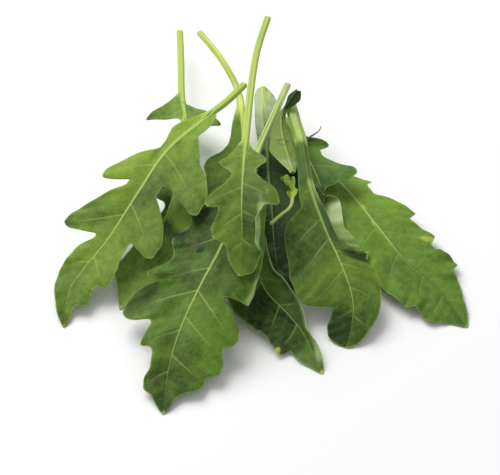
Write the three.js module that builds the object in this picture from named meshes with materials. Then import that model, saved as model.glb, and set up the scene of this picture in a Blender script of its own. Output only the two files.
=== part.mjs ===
// A bunch of eleven arugula leaves lying on a table, in millimetres, +Z up.
// Each leaf is one closed solid: its stalk and its blade grew as one piece.
import * as THREE from "three";

// Sizes that all leaves share.
const BLADE_THICKNESS = 0.7;
const VEIN_ANGLE = 58; // between a side vein and the rib, degrees
const RIB_UNDERSIDE = 0.8; // how far the rib stands out below the blade, in rib radii
const RIB_TOPSIDE = 0.12;
const STALK_TOPSIDE = 0.72; // a bare stalk is round on both sides
const STALK_UNDERSIDE = 0.7;
const BARE_STALK = 1.0; // reach of the margin in rib radii where the blade begins
const FULL_BLADE = 3.0; // and where it is a full blade
const ROLLED_SHARE = 0.6; // part of a rolled lip's width that bends

// How the solids are divided.
const STEPS_PER_SPAN = 40; // between two points of a rib
const STEPS_ACROSS = 60; // from a rib to its margin
const BLADE_ROW_GAP = 4; // longest stretch between two rows, mm
const STALK_ROW_GAP = 9;
const SMALLEST_ROW_GAP = 0.8;
const STALK_REACH = 2.5; // a leaf narrower than this is a stalk, mm

// The bunch as drawn stands beside the origin: this puts its box on it.
const TO_ORIGIN = new THREE.Vector3(-3, -22.4, -0.3);
const TABLE_REACH = 0.35; // an underside that comes this near to the table lies flat on it, mm

const COLOURS = {
  bright: { color: 0x6b9440, roughness: 0.55 },
  dark: { color: 0x466530, roughness: 0.5 },
  pale: { color: 0x8fa860, roughness: 0.65 },
};

// Each leaf: its rib from the cut end of the stalk to the tip, its two margins as
// [foot of the side vein along the rib, length of the side vein], "right" being on the
// right hand of someone who looks from the tip up to the stalk, and its rib's radius.
// fold and curl are [distance along the rib, degrees] and [distance, degrees per 10 mm],
// lip is how far a margin's last stretch is rolled up, lipWidth is how wide that stretch
// is, roll turns the blade about its rib, and fan is where the side veins begin to slant.
const LEAVES = [
  {
    name: "leaf_outer_left",
    colour: "bright",
    columns: 4,
    rib: [
      [-2, 64.5, 17], [-8, 53, 19], [-14, 44, 20.4], [-26, 28, 20], [-34.5, 12, 16.5],
      [-43, -1, 10], [-50, -9.5, 5.8], [-53.7, -16, 3.8], [-54.5, -27.5, 1],
    ],
    right: [
      [20, 1.2], [23, 3.2], [27.5, 4.9], [31.5, 5], [34.5, 6.4], [36, 11], [38, 16.3],
      [41, 19.8], [44, 21.6], [48, 21.8], [50.5, 19.5], [51.5, 13], [52.3, 8], [53.5, 6.2],
      [57, 6], [58.3, 10], [60, 14.5], [63.5, 17.2], [67, 17.4], [69.5, 15.3], [71, 11.5],
      [72.5, 8], [75.5, 8.2], [80, 10], [86, 11], [88, 9], [90, 7.5], [95, 7.2], [100, 6.8],
      [103.5, 2.5], [107.5, 1.5], [110.9, 0.3],
    ],
    left: [
      [20, 1.2], [27.2, 3.2], [29.4, 4], [31.6, 4.5], [35, 3.9], [38.4, 3], [42.4, 2.4],
      [45, 8], [47.5, 11.8], [50.5, 13.6], [53.5, 13], [55.2, 9], [56, 4.6], [57.7, 4.7],
      [60, 8], [63, 11.8], [67.5, 15.5], [71, 16.2], [74, 14], [75.7, 8.5], [76.7, 4.5],
      [78.3, 4], [82, 6.5], [89, 6.3], [95, 5], [100.5, 3.5], [105.5, 2.4], [110.9, 0.3],
    ],
    radius: [[0, 1.2], [22, 1.1], [50, 0.7], [110.9, 0.3]],
    fan: [20, 34],
    foldRight: [[0, 10]],
    foldLeft: [[0, 10]],
    curlRight: [[0, -4], [60, -6], [111, -12]],
    curlLeft: [[0, -8], [111, -14]],
  },
  {
    name: "leaf_under_left",
    colour: "bright",
    columns: 3,
    rib: [
      [-25, 104.5, 9], [-24, 87.5, 9.5], [-23, 67, 10], [-21.5, 55, 10], [-22, 36, 9],
      [-24.5, 19, 7.5], [-29, 4, 5], [-34, -9, 3], [-38.5, -20.5, 1],
    ],
    right: [
      [41, 1.2], [42, 4], [42.8, 7.5], [44.4, 9.4], [47, 12], [49, 8], [51, 4], [58, 5],
      [66, 6], [74, 5], [80, 4], [84, 5], [86, 7.9], [87.5, 9], [89.7, 9.3], [92.2, 8.4],
      [94, 7], [95.5, 6.4], [97.7, 7.3], [100, 8], [103, 8.6], [107, 10.4], [111, 11.4],
      [115, 9.6], [119, 6], [123, 2.5], [128.4, 0.3],
    ],
    left: [
      [35.5, 1.2], [38, 3.3], [39.2, 6.2], [40.6, 11], [43, 12.8], [45, 8], [46.5, 3.5],
      [50, 1.3], [52.5, 2.5], [58, 4], [66.6, 5.6], [75.5, 6.6], [81, 5.9], [83.5, 5],
      [85, 3.6], [86, 2.3], [88.5, 1.4], [91, 1.9], [94, 3.3], [99, 4.6], [105, 5.8],
      [112, 6.8], [119, 4], [128.4, 0.3],
    ],
    radius: [[0, 1.1], [36, 1.1], [60, 0.7], [128.4, 0.3]],
    fan: [34, 42],
  },
  {
    name: "leaf_top_centre",
    colour: "dark",
    columns: 4,
    rib: [
      [6, 92, 24], [2.5, 76, 23], [0.5, 58, 22.8], [-1, 33, 25.5], [-2, 13, 28],
      [-2.5, -3.5, 26.5], [-2.3, -13, 22.3], [-3, -21.5, 16],
    ],
    right: [
      [67, 1.2], [71.5, 2.7], [73.3, 5.5], [74.7, 7], [78, 5], [81.5, 3.6], [83.3, 6],
      [84.3, 9.5], [86, 10.9], [88.5, 11.2], [91, 9.8], [93.5, 7.4], [96, 7.5], [98.5, 7.8],
      [101, 7.8], [104.5, 7.4], [108, 5.8], [113.5, 4.2], [117.6, 0.4],
    ],
    left: [
      [67, 1.2], [71, 2.7], [73.5, 4.8], [75.7, 7.3], [78.5, 5.6], [81, 3.9], [83, 3.4],
      [85.5, 4.8], [87, 7.5], [88.4, 10.8], [91, 10.2], [93.5, 6.8], [95.5, 7.3], [98, 9.1],
      [101.5, 8.6], [104.5, 6], [107, 4.5], [110, 3.9], [114, 2.3], [117.6, 0.4],
    ],
    radius: [[0, 1.2], [60, 1.1], [80, 0.8], [117.6, 0.3]],
    fan: [64, 74],
    foldRight: [[0, 14]],
    foldLeft: [[0, 12], [118, 14]],
    curlRight: [[0, -14], [118, -18]],
    curlLeft: [[0, -14], [118, -18]],
    lipRight: [[90, 0], [94, 60], [98, 130], [103, 130], [107.5, 0]],
    lipWidth: [[0, 3.4]],
  },
  {
    name: "leaf_outer_right",
    colour: "bright",
    columns: 5,
    rib: [
      [11, 64, 1.5], [16.5, 53, 2], [23.5, 40, 3], [31, 27.5, 4], [39.5, 11, 4],
      [48, -4.5, 3], [57, -15, 2], [63.5, -27.5, 1],
    ],
    right: [
      [0, 1.2], [14, 1.6], [26, 2.5], [32, 4], [35.5, 6.5], [37.8, 8.3], [39.5, 6.5],
      [43.5, 6.2], [48, 10.7], [53, 13.3], [56, 10.7], [59, 11.7], [63.5, 13.8],
      [65.7, 12.8], [69.5, 10.5], [73, 11.3], [77, 12], [81, 11.2], [83.2, 8.7], [87, 7.3],
      [91, 5.8], [94.5, 4.4], [99, 3.2], [102.5, 1.9], [106, 0.4],
    ],
    left: [
      [0, 1.2], [14, 2], [24, 4], [32, 7], [36, 10.5], [39, 15], [42, 17.6], [47, 20.3],
      [52, 20.3], [55.8, 18.7], [59.6, 16.1], [61.6, 13.7], [62.8, 11.6], [64.5, 11.8],
      [67, 12.8], [72.5, 13.5], [78.5, 13.7], [84, 13.4], [86.5, 11.2], [89, 10.7],
      [92.5, 10.5], [95.3, 9], [97.5, 6.8], [102, 3], [106, 0.4],
    ],
    radius: [[0, 1.2], [30, 0.8], [106, 0.3]],
    fan: [8, 20],
    foldRight: [[0, 8], [106, 6]],
    foldLeft: [[0, 6]],
    curlRight: [[0, -6]],
    lipLeft: [[36.5, 0], [40, 150], [45, 172], [60.5, 172], [63, 120], [66, 0]],
    lipWidth: [[0, 6.5], [52, 6.5], [55.8, 5.3], [59.6, 4], [62, 2.6], [66, 1.6]],
  },
  {
    name: "leaf_front_centre",
    colour: "dark",
    columns: 4,
    rib: [
      [-17.5, 93.5, 17], [-10, 82.5, 14], [-4.5, 72, 10], [-2.5, 54.5, 10.5],
      [-2, 31.5, 13], [-3.5, 11, 15], [-8.5, -8.5, 15], [-15, -23.5, 12], [-20, -35.5, 8],
      [-23, -47, 4], [-24, -59.5, 1],
    ],
    right: [
      [60, 1.2], [70, 3], [80, 8], [92, 10.5], [98, 12.8], [103, 15.3], [107, 16.2],
      [111, 16.8], [114.5, 16], [116, 13.2], [118, 9.2], [119.3, 7.8], [120.5, 13],
      [122, 16], [125.5, 17.2], [129, 15.8], [132.5, 13.8], [134.5, 14.3], [136.5, 15],
      [140.5, 14.6], [143, 13], [144.3, 11.2], [148, 10.6], [151, 9.2], [153.5, 6.4],
      [155.5, 4.4], [158.5, 2.7], [161.3, 1.5], [163.6, 0.3],
    ],
    left: [
      [0, 1.1], [32, 1.2], [45.5, 3.5], [54, 5], [57, 7], [58.5, 11.5], [63, 12.5],
      [69, 11.5], [75.5, 11.5], [81.6, 14.8], [84.7, 14.2], [89.8, 12.8], [93, 11.9],
      [95.4, 12.2], [96.4, 13.3], [97.3, 14.7], [98.8, 15.3], [100.5, 15.2], [103.6, 14.1],
      [107.2, 12.7], [110.4, 11.9], [111.4, 13.6], [112.2, 17.4], [113.7, 17], [115.3, 11],
      [116.5, 8.3], [117.7, 9], [118.7, 15], [120.5, 18.2], [124, 19.2], [127, 17.5],
      [129.5, 14], [131.3, 9.6], [133, 8.9], [135.5, 9.4], [138.7, 9.7], [140.5, 7],
      [143, 5.6], [147.5, 5.2], [150, 6.5], [152.5, 6.3], [156, 4], [160, 2.2],
      [163.6, 0.3],
    ],
    radius: [[0, 1.1], [60, 1.1], [110, 0.7], [163.6, 0.3]],
    fan: [34, 60],
    foldRight: [[0, 6], [100, 4], [164, 10]],
    foldLeft: [[0, 0], [100, 0], [164, 8]],
    curlRight: [[0, -8], [164, -10]],
    curlLeft: [[0, -6], [164, -8]],
    lipRight: [[97, 0], [102, 60], [112, 60], [117, 0]],
    lipWidth: [[0, 3]],
  },
  {
    name: "leaf_low_front",
    colour: "dark",
    columns: 3,
    rib: [
      [12.5, 66, 16], [7.5, 53.5, 12], [2.5, 40.5, 8.5], [0.5, 26, 7.5], [0, 11, 6.5],
      [1.5, -5.5, 6], [4.5, -17, 5], [11.5, -26.5, 4], [15.5, -32, 2.5], [20.5, -45, 1],
    ],
    right: [
      [0, 1.2], [42, 1.2], [60, 4], [72, 5.7], [77, 6.5], [80, 7.8], [84.5, 8.4],
      [90.5, 7.3], [95.5, 6.2], [98.5, 5.2], [104, 3.4], [107.5, 3.3], [113, 2.4],
      [119.6, 0.4],
    ],
    left: [
      [0, 1.2], [42, 1.2], [62, 7], [76, 11], [83.5, 12], [89, 10.7], [93.5, 10.2],
      [100, 10.2], [103.3, 9.9], [104.6, 8.4], [105.7, 6.1], [110, 5], [115, 2.6],
      [119.6, 0.4],
    ],
    radius: [[0, 1.2], [40, 1.1], [60, 0.7], [119.6, 0.3]],
    fan: [40, 54],
    foldRight: [[0, 12], [120, 8]],
    foldLeft: [[0, 0], [120, 4]],
    curlLeft: [[0, -4], [120, -6]],
    lipRight: [[60, 0], [80, 112], [100, 112], [112, 60], [119, 0]],
    lipWidth: [[0, 2.5]],
  },
  {
    name: "leaf_broad_right",
    colour: "dark",
    columns: 4,
    rib: [
      [13.5, 57, 15], [14.5, 48, 15], [16, 39.5, 15], [18.2, 17, 16], [22.8, -1.5, 14],
      [27, -12.5, 11], [30, -22.5, 6.8], [29.5, -30.5, 3.5], [28, -35.5, 1],
    ],
    right: [
      [0, 1.7], [10, 2.1], [20, 2.1], [40, 1.5], [46, 1.8], [52, 2.4], [60, 2.6], [63, 2.8],
      [64.5, 3.4], [65.6, 4.6], [66.3, 6.6], [67.1, 8.2], [68.4, 9], [71, 9.4], [75, 9.2],
      [79, 8.3], [83, 7.3], [89, 5.1], [93.5, 3], [97.4, 0.5],
    ],
    left: [
      [0, 1.7], [10, 2.1], [20, 2.2], [32, 2.6], [37, 3.2], [43.4, 4.4], [46.4, 4.8],
      [47.6, 9], [49, 12], [52, 13.2], [57, 15], [61.5, 16.3], [66, 16.2], [71, 15.4],
      [75, 14], [77.5, 11], [80, 8], [82.3, 6.1], [84.5, 6.3], [87.5, 7.1], [91, 6.5],
      [94, 4.4], [97.4, 0.5],
    ],
    radius: [[0, 1.5], [20, 1.3], [45, 0.8], [97.4, 0.3]],
    fan: [18, 32],
    foldRight: [[0, 20], [60, 10], [98, 4]],
    foldLeft: [[0, 20], [50, 8], [98, 4]],
    curlRight: [[0, -10], [98, -20]],
    curlLeft: [[0, -10], [60, -8], [80, -9], [98, -20]],
  },
  {
    name: "leaf_small_right",
    colour: "dark",
    columns: 3,
    rib: [
      [10, 63, 6.5], [13.5, 54.5, 7], [16.5, 45, 7.5], [19.5, 35, 8.5], [21.5, 26, 10],
      [23, 18, 10.3],
    ],
    right: [
      [0, 1], [13, 1.6], [14.6, 4.5], [15.6, 7.6], [17, 8.6], [18.8, 8], [21.3, 5],
      [24, 4.7], [27, 7], [30, 11.5], [32, 12.5], [34.5, 11], [37, 8], [40, 4.5], [43, 1.5],
      [47, 0.4],
    ],
    left: [[0, 1], [10, 2], [16, 4], [24, 5], [34, 5], [39, 3], [43, 1], [47, 0.4]],
    radius: [[0, 1], [20, 0.7], [47, 0.3]],
    fan: [6, 14],
  },
  {
    name: "leaf_low_centre",
    colour: "dark",
    columns: 3,
    rib: [
      [4.5, 83.5, 0.8], [5, 70.5, 0.8], [5.5, 51.5, 2], [6, 33.5, 3], [7, 17, 3],
      [7.5, 3.5, 3], [9.8, -17.5, 2.3],
    ],
    right: [
      [0, 1.5], [3, 3], [6, 4], [10, 4.8], [16, 4], [24, 2.8], [28, 4], [34.3, 6.1],
      [38.2, 8.4], [42.2, 10.6], [47, 12], [52, 12], [58, 11.4], [63, 10.6], [67, 8.5],
      [71.4, 5.8], [78, 4.8], [84, 4.9], [92, 4.9], [97, 3.6], [101.2, 0.5],
    ],
    left: [
      [0, 2], [5, 3.2], [20, 3.4], [32, 2.8], [37, 3.4], [41.4, 5], [46.3, 5.8], [52, 5],
      [58, 4.3], [70, 4.6], [82, 4.4], [90, 3.4], [97, 2], [101.2, 0.5],
    ],
    radius: [[0, 1.2], [34, 0.9], [101.2, 0.3]],
    fan: [26, 40],
    foldRight: [[0, 4], [20, 4], [34, 10], [91, 6]],
    foldLeft: [[0, 4], [20, 4], [34, 12], [91, 6]],
  },
  {
    name: "leaf_turned_over",
    colour: "pale",
    columns: 3,
    rib: [
      [13.5, 27.5, 11.5], [11.5, 37.5, 12], [10.2, 46.5, 12.8], [10.4, 51.5, 15],
      [13, 53.5, 19], [15.5, 56.5, 21],
    ],
    right: [
      [0, 0.9], [2, 1.8], [4.4, 4], [8.3, 4.8], [13.1, 4.5], [18.7, 2.9], [22, 1.6],
      [26, 1.2], [28, 1.7], [30.5, 2.5], [33, 1.7], [35.4, 0.4],
    ],
    left: [
      [0, 0.9], [2, 1.4], [4.1, 2.7], [6.5, 4.2], [8.7, 5.1], [14.3, 4], [18.5, 3.2],
      [23.1, 2], [26, 1.3], [28, 1.7], [30.5, 2.2], [33, 1.5], [35.4, 0.4],
    ],
    radius: [[0, 0.6], [20, 0.5], [35.4, 0.3]],
    fan: [0, 6],
    roll: [[0, 180]],
    foldRight: [[0, 14], [35, 20]],
    foldLeft: [[0, 14], [35, 20]],
  },
  {
    name: "leaf_young",
    colour: "pale",
    columns: 3,
    rib: [
      [6.2, -1.7, 17.5], [9.5, 2.4, 17.5], [11.7, 4.3, 18], [12.6, 6.2, 18.5],
      [12.7, 9.6, 19], [11.9, 12.7, 19.5], [9.6, 15.6, 20],
    ],
    right: [
      [0, 0.5], [11.8, 0.5], [13.2, 1.8], [14.4, 1.3], [16.2, 2.8], [17.4, 1.9],
      [18.6, 2.2], [20.5, 0.4],
    ],
    left: [
      [0, 0.5], [12.2, 0.5], [13.6, 2], [14.8, 1.4], [16.6, 3], [17.8, 2], [19, 2.1],
      [20.5, 0.4],
    ],
    radius: [[0, 0.5], [20.5, 0.3]],
    fan: [11, 15],
    foldRight: [[0, 8], [11, 8], [15, 35], [20, 45]],
    foldLeft: [[0, 8], [11, 8], [15, 40], [20, 50]],
    roll: [[0, 0], [11, 0], [20, 25]],
  },
];

const radians = (degrees) => (degrees * Math.PI) / 180;

// A smooth step from 0 at a to 1 at b.
function ease(a, b, x) {
  const t = THREE.MathUtils.clamp((x - a) / (b - a), 0, 1);
  return t * t * (3 - 2 * t);
}

// Slope of the smooth curve through knots at knot i: level at a peak or a hollow.
function knotSlope(knots, i) {
  const rise = (k) => (knots[k + 1][1] - knots[k][1]) / (knots[k + 1][0] - knots[k][0]);
  if (i === 0) return rise(0);
  if (i === knots.length - 1) return rise(i - 1);
  const before = rise(i - 1);
  const after = rise(i);
  if (before * after <= 0) return 0;
  const run = (k) => knots[k + 1][0] - knots[k][0];
  const w1 = 2 * run(i) + run(i - 1);
  const w2 = run(i) + 2 * run(i - 1);
  return (w1 + w2) / (w1 / before + w2 / after);
}

// Value at x of the curve through knots, which never overshoots them.
function through(knots, x) {
  if (knots.length === 1 || x <= knots[0][0]) return knots[0][1];
  const last = knots.length - 1;
  if (x >= knots[last][0]) return knots[last][1];
  let i = 0;
  while (x >= knots[i + 1][0]) i += 1;
  const run = knots[i + 1][0] - knots[i][0];
  const t = (x - knots[i][0]) / run;
  const t2 = t * t;
  const t3 = t2 * t;
  return (
    (2 * t3 - 3 * t2 + 1) * knots[i][1] +
    (t3 - 2 * t2 + t) * run * knotSlope(knots, i) +
    (3 * t2 - 2 * t3) * knots[i + 1][1] +
    (t3 - t2) * run * knotSlope(knots, i + 1)
  );
}

// A leaf's rib: a smooth curve through points, read by the distance along it.
class Rib {
  constructor(points) {
    const knots = points.map((p) => new THREE.Vector3(...p));
    const spans = knots.slice(1).map((p, i) => p.distanceTo(knots[i]));
    const slopes = knots.map((p, i) => {
      const a = Math.max(i - 1, 0);
      const b = Math.min(i + 1, knots.length - 1);
      const length = spans.slice(a, b).reduce((sum, s) => sum + s, 0);
      return knots[b].clone().sub(knots[a]).divideScalar(length);
    });
    this.points = [];
    spans.forEach((span, i) => {
      for (let k = 0; k < STEPS_PER_SPAN; k += 1) {
        const t = k / STEPS_PER_SPAN;
        const t2 = t * t;
        const t3 = t2 * t;
        this.points.push(
          new THREE.Vector3()
            .addScaledVector(knots[i], 2 * t3 - 3 * t2 + 1)
            .addScaledVector(slopes[i], (t3 - 2 * t2 + t) * span)
            .addScaledVector(knots[i + 1], 3 * t2 - 2 * t3)
            .addScaledVector(slopes[i + 1], (t3 - t2) * span),
        );
      }
    });
    this.points.push(knots[knots.length - 1]);
    this.marks = [0];
    for (let i = 1; i < this.points.length; i += 1) {
      this.marks.push(this.marks[i - 1] + this.points[i].distanceTo(this.points[i - 1]));
    }
    this.length = this.marks[this.marks.length - 1];
  }

  inside(u) {
    const c = THREE.MathUtils.clamp(u, 0, this.length);
    let i = this.marks.findIndex((m) => m > c) - 1;
    if (i < 0) i = this.points.length - 2;
    const t = (c - this.marks[i]) / (this.marks[i + 1] - this.marks[i]);
    return this.points[i].clone().lerp(this.points[i + 1], t);
  }

  direction(u) {
    const c = THREE.MathUtils.clamp(u, 0, this.length);
    const reach = 1.5;
    return this.inside(c + reach).sub(this.inside(c - reach)).normalize();
  }

  // Past either end the rib runs on straight.
  at(u) {
    const c = THREE.MathUtils.clamp(u, 0, this.length);
    return this.inside(c).addScaledVector(this.direction(c), u - c);
  }
}

// A leaf's surface, and the solid round it.
class Leaf {
  constructor(sizes) {
    Object.assign(this, sizes);
    this.ribCurve = new Rib(sizes.rib);
    this.sides = {
      [-1]: [sizes.left, sizes.foldLeft, sizes.curlLeft, sizes.lipLeft],
      1: [sizes.right, sizes.foldRight, sizes.curlRight, sizes.lipRight],
    };
  }

  radiusAt(foot) {
    return through(this.radius, foot);
  }

  reach(side, foot) {
    return Math.max(through(this.sides[side][0], foot), this.radiusAt(foot));
  }

  // Directions across the blade and out of its upper face.
  frame(u) {
    const along = this.ribCurve.direction(u);
    const across = new THREE.Vector3(-along.y, along.x, 0).normalize();
    const up = along.clone().cross(across);
    const turn = radians(through(this.roll ?? [[0, 0]], u));
    return {
      across: across.clone().multiplyScalar(Math.cos(turn)).addScaledVector(up, Math.sin(turn)),
      up: up.multiplyScalar(Math.cos(turn)).addScaledVector(across, -Math.sin(turn)),
    };
  }

  // Points of the middle of the blade along one side vein, at distances from the rib.
  vein(side, foot, distances) {
    const [, fold = [[0, 8]], curl = [[0, 0]], lip = [[0, 0]]] = this.sides[side];
    const reach = this.reach(side, foot);
    const blade = ease(BARE_STALK, FULL_BLADE, reach / this.radiusAt(foot));
    const far = Math.max(...distances);
    const step = far / STEPS_ACROSS;
    const lipWidth = through(this.lipWidth ?? [[0, 1]], foot);
    const path = [[0, 0]];
    for (let k = 0; k < STEPS_ACROSS; k += 1) {
      const v = (k + 0.5) * step;
      const rolled = ease(0, ROLLED_SHARE, (v - reach + lipWidth) / lipWidth);
      const bend = through(fold, foot) + (through(curl, foot) * v) / 10;
      const angle = radians((bend + through(lip, foot) * rolled) * blade);
      const [x, y] = path[k];
      path.push([x + Math.cos(angle) * step, y + Math.sin(angle) * step]);
    }
    const slant = ease(this.fan[0], this.fan[1], foot) / Math.tan(radians(VEIN_ANGLE));
    return distances.map((v) => {
      const k = Math.min(Math.floor(v / step), STEPS_ACROSS - 1);
      const t = v / step - k;
      const x = THREE.MathUtils.lerp(path[k][0], path[k + 1][0], t);
      const y = THREE.MathUtils.lerp(path[k][1], path[k + 1][1], t);
      const u = foot + v * slant;
      const { across, up } = this.frame(u);
      return this.ribCurve.at(u).addScaledVector(across, side * x).addScaledVector(up, y);
    });
  }

  // Feet of the rows: at every point of both margins, and between them where they are far.
  feet() {
    const end = this.ribCurve.length;
    const marks = [0, end, ...this.right.map((k) => k[0]), ...this.left.map((k) => k[0])]
      .filter((f) => f >= 0 && f <= end)
      .sort((a, b) => a - b);
    const feet = [0];
    marks.forEach((mark) => {
      const from = feet[feet.length - 1];
      if (mark - from < SMALLEST_ROW_GAP) {
        if (mark === end && from !== end) feet[feet.length - 1] = end;
        return;
      }
      const middle = (from + mark) / 2;
      const wide = Math.max(this.reach(1, middle), this.reach(-1, middle)) > STALK_REACH;
      const gap = wide ? BLADE_ROW_GAP : STALK_ROW_GAP;
      const count = Math.max(1, Math.ceil((mark - from) / gap - 0.25));
      for (let i = 1; i <= count; i += 1) feet.push(from + ((mark - from) * i) / count);
    });
    return feet;
  }

  // Distances of a row's points: the first at the rib's edge on a blade, even on a stalk.
  spread(side, foot) {
    const radius = this.radiusAt(foot);
    const reach = this.reach(side, foot);
    const blade = ease(BARE_STALK, FULL_BLADE, reach / radius);
    return Array.from({ length: this.columns }, (_, j) => {
      const stalk = (reach * (j + 1)) / this.columns;
      const open = radius + (reach - radius) * (j / (this.columns - 1)) ** 1.15;
      return THREE.MathUtils.lerp(stalk, open, blade);
    });
  }

  // How thick the leaf is above and below the middle of the blade.
  thickness(foot, offset) {
    const radius = this.radiusAt(foot);
    const reach = this.reach(offset > 0 ? 1 : -1, foot);
    const stalk = 1 - ease(BARE_STALK, FULL_BLADE, reach / radius);
    const hump = Math.sqrt(Math.max(1 - (offset / radius) ** 2, 0)) * radius;
    const half = BLADE_THICKNESS / 2;
    return [
      half + hump * THREE.MathUtils.lerp(RIB_TOPSIDE, STALK_TOPSIDE, stalk),
      half + hump * THREE.MathUtils.lerp(RIB_UNDERSIDE, STALK_UNDERSIDE, stalk),
    ];
  }

  geometry() {
    const feet = this.feet();
    const offsets = feet.map((foot) => [
      ...this.spread(-1, foot).reverse().map((v) => -v),
      0,
      ...this.spread(1, foot),
    ]);
    const middle = feet.map((foot) => [
      ...this.vein(-1, foot, this.spread(-1, foot)).reverse(),
      this.ribCurve.at(foot),
      ...this.vein(1, foot, this.spread(1, foot)),
    ]);
    const rows = feet.length;
    const width = 2 * this.columns + 1;
    const slope = (i0, j0, i1, j1) => middle[i1][j1].clone().sub(middle[i0][j0]);
    const upper = [];
    const lower = [];
    for (let i = 0; i < rows; i += 1) {
      for (let j = 0; j < width; j += 1) {
        const along = slope(Math.max(i - 1, 0), j, Math.min(i + 1, rows - 1), j);
        const across = slope(i, Math.max(j - 1, 0), i, Math.min(j + 1, width - 1));
        const normal = along.cross(across).normalize();
        const [above, below] = this.thickness(feet[i], offsets[i][j]);
        upper.push(middle[i][j].clone().addScaledVector(normal, above).add(TO_ORIGIN));
        lower.push(middle[i][j].clone().addScaledVector(normal, -below).add(TO_ORIGIN));
      }
    }
    lower.forEach((p) => {
      if (p.z < TABLE_REACH) p.z = 0;
    });
    const geometry = new THREE.BufferGeometry().setFromPoints([...upper, ...lower]);
    geometry.setIndex(shellFaces(rows, width));
    return geometry;
  }
}

// Triangles of a sheet with an upper and a lower face, split alike, and its rim.
function shellFaces(rows, width) {
  const under = rows * width;
  const faces = [];
  const quad = (a, b, c, d) => faces.push(a, d, c, a, c, b);
  for (let i = 0; i < rows - 1; i += 1) {
    for (let j = 0; j < width - 1; j += 1) {
      const [a, b, c, d] = [0, 1, width + 1, width].map((k) => i * width + j + k);
      quad(a, b, c, d);
      faces.push(under + a, under + c, under + d, under + a, under + b, under + c);
    }
  }
  for (let i = 0; i < rows - 1; i += 1) {
    const left = i * width;
    const right = left + width - 1;
    quad(left, left + width, under + left + width, under + left);
    quad(right, under + right, under + right + width, right + width);
  }
  for (let j = 0; j < width - 1; j += 1) {
    const tip = (rows - 1) * width + j;
    quad(j, under + j, under + j + 1, j + 1);
    quad(tip, tip + 1, under + tip + 1, under + tip);
  }
  return faces;
}

const group = new THREE.Group();
group.name = "arugula_bunch";
LEAVES.forEach((sizes) => {
  const look = COLOURS[sizes.colour];
  const material = new THREE.MeshStandardMaterial({
    name: `leaf_${sizes.colour}`,
    color: look.color,
    roughness: look.roughness,
    metalness: 0,
  });
  const geometry = new Leaf(sizes).geometry();
  geometry.computeVertexNormals();
  const mesh = new THREE.Mesh(geometry, material);
  mesh.name = sizes.name;
  group.add(mesh);
});

export default group;
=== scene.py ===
"""Looks of a bunch of arugula leaves.

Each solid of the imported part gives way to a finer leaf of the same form, with a round
stalk, side veins and a waved margin. The bunch lies on a white table in soft light.
Sizes are in millimetres, but for the table and the lamps, which are in metres. A leaf's
outline is written along its rib, as it grew.
"""

import logging
import math
from dataclasses import dataclass, replace
from enum import Enum
from typing import Any

import bpy
import numpy as np
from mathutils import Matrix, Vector


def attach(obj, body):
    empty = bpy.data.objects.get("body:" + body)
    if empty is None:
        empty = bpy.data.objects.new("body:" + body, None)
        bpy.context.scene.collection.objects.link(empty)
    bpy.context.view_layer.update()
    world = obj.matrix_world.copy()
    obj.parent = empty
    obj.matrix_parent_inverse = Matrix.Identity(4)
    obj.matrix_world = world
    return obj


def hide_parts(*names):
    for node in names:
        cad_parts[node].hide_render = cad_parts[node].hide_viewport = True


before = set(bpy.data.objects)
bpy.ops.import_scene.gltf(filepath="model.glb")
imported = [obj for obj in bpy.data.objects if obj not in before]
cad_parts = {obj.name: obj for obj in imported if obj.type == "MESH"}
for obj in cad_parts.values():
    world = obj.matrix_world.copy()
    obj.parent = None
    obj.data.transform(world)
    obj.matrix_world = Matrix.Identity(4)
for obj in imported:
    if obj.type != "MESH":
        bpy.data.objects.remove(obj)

Knots = tuple[tuple[float, float], ...]
Point = tuple[float, float, float]
Colour = tuple[float, float, float, float]

MM = 0.001
BODY = "root"

TO_ORIGIN = (-3.0, -22.4, -0.3)  # from where the bunch was drawn to its box's origin
LOWEST = 0.02  # of any underside above the table
SETTLED = 0.45  # how much lower a thin blade lies than its solid where it meets the table
SETTLING = (0.7, 3.0)  # heights between which a blade is lowered less and less

STEPS_PER_SPAN = 40  # between two points of a rib
STEPS_ACROSS = 60  # from a rib to its margin
LOOK_AROUND = 1.5  # distance on each side that gives the rib's direction
ROW_SAMPLES = 4000  # feet at which the margin's climb is measured
STEEPEST = 6.0  # climb of the margin past which the rows come no closer
RIB_COLUMNS = 0.3  # share of the columns that lie on the rib

VEIN_ANGLE = 58.0  # between a side vein and the rib, degrees
WIDE_GAP = 6.0  # distance between two feet past which a fainter side vein lies between them
END_GAP = 7.0  # from the first and the last strong side vein to a faint one beyond
FAINT = 0.15  # strength of such a vein
ARCH = (0.05, 0.006)  # bend of a side vein towards the tip, by its distance out and its square
VEIN_TAPER = 0.6  # how slowly a side vein fades on its way out
VEIN_REACH = 0.75  # share of the way to the margin where a side vein ends

CURL_LENGTH = 10.0  # over which a blade turns by its curl
BARE_STALK = 1.0  # reach of the margin in rib radii where the blade begins
FULL_BLADE = 3.0  # and where it is a full blade
BLADE_THICKNESS = 0.36
THIN_MARGIN = 0.6  # share of the blade's thickness that its margin has
MARGIN_WIDTH = 1.2  # over which the blade gets to its full thickness
RIB_UNDERSIDE = 0.8  # how far the rib stands out below the blade, in rib radii
RIB_TOPSIDE = 0.1  # and above it
STALK_ROUNDNESS = 0.96  # half thickness of the stalk, in rib radii
STALK_SKIN = 0.05  # added to it, so that the stalk's edges aren't sharp
GROOVE_WIDTH = 0.4  # of the stalk's furrow, in rib radii
SHARP_EDGE = 50.0  # degrees between two faces, past which their edge isn't smoothed over

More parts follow.
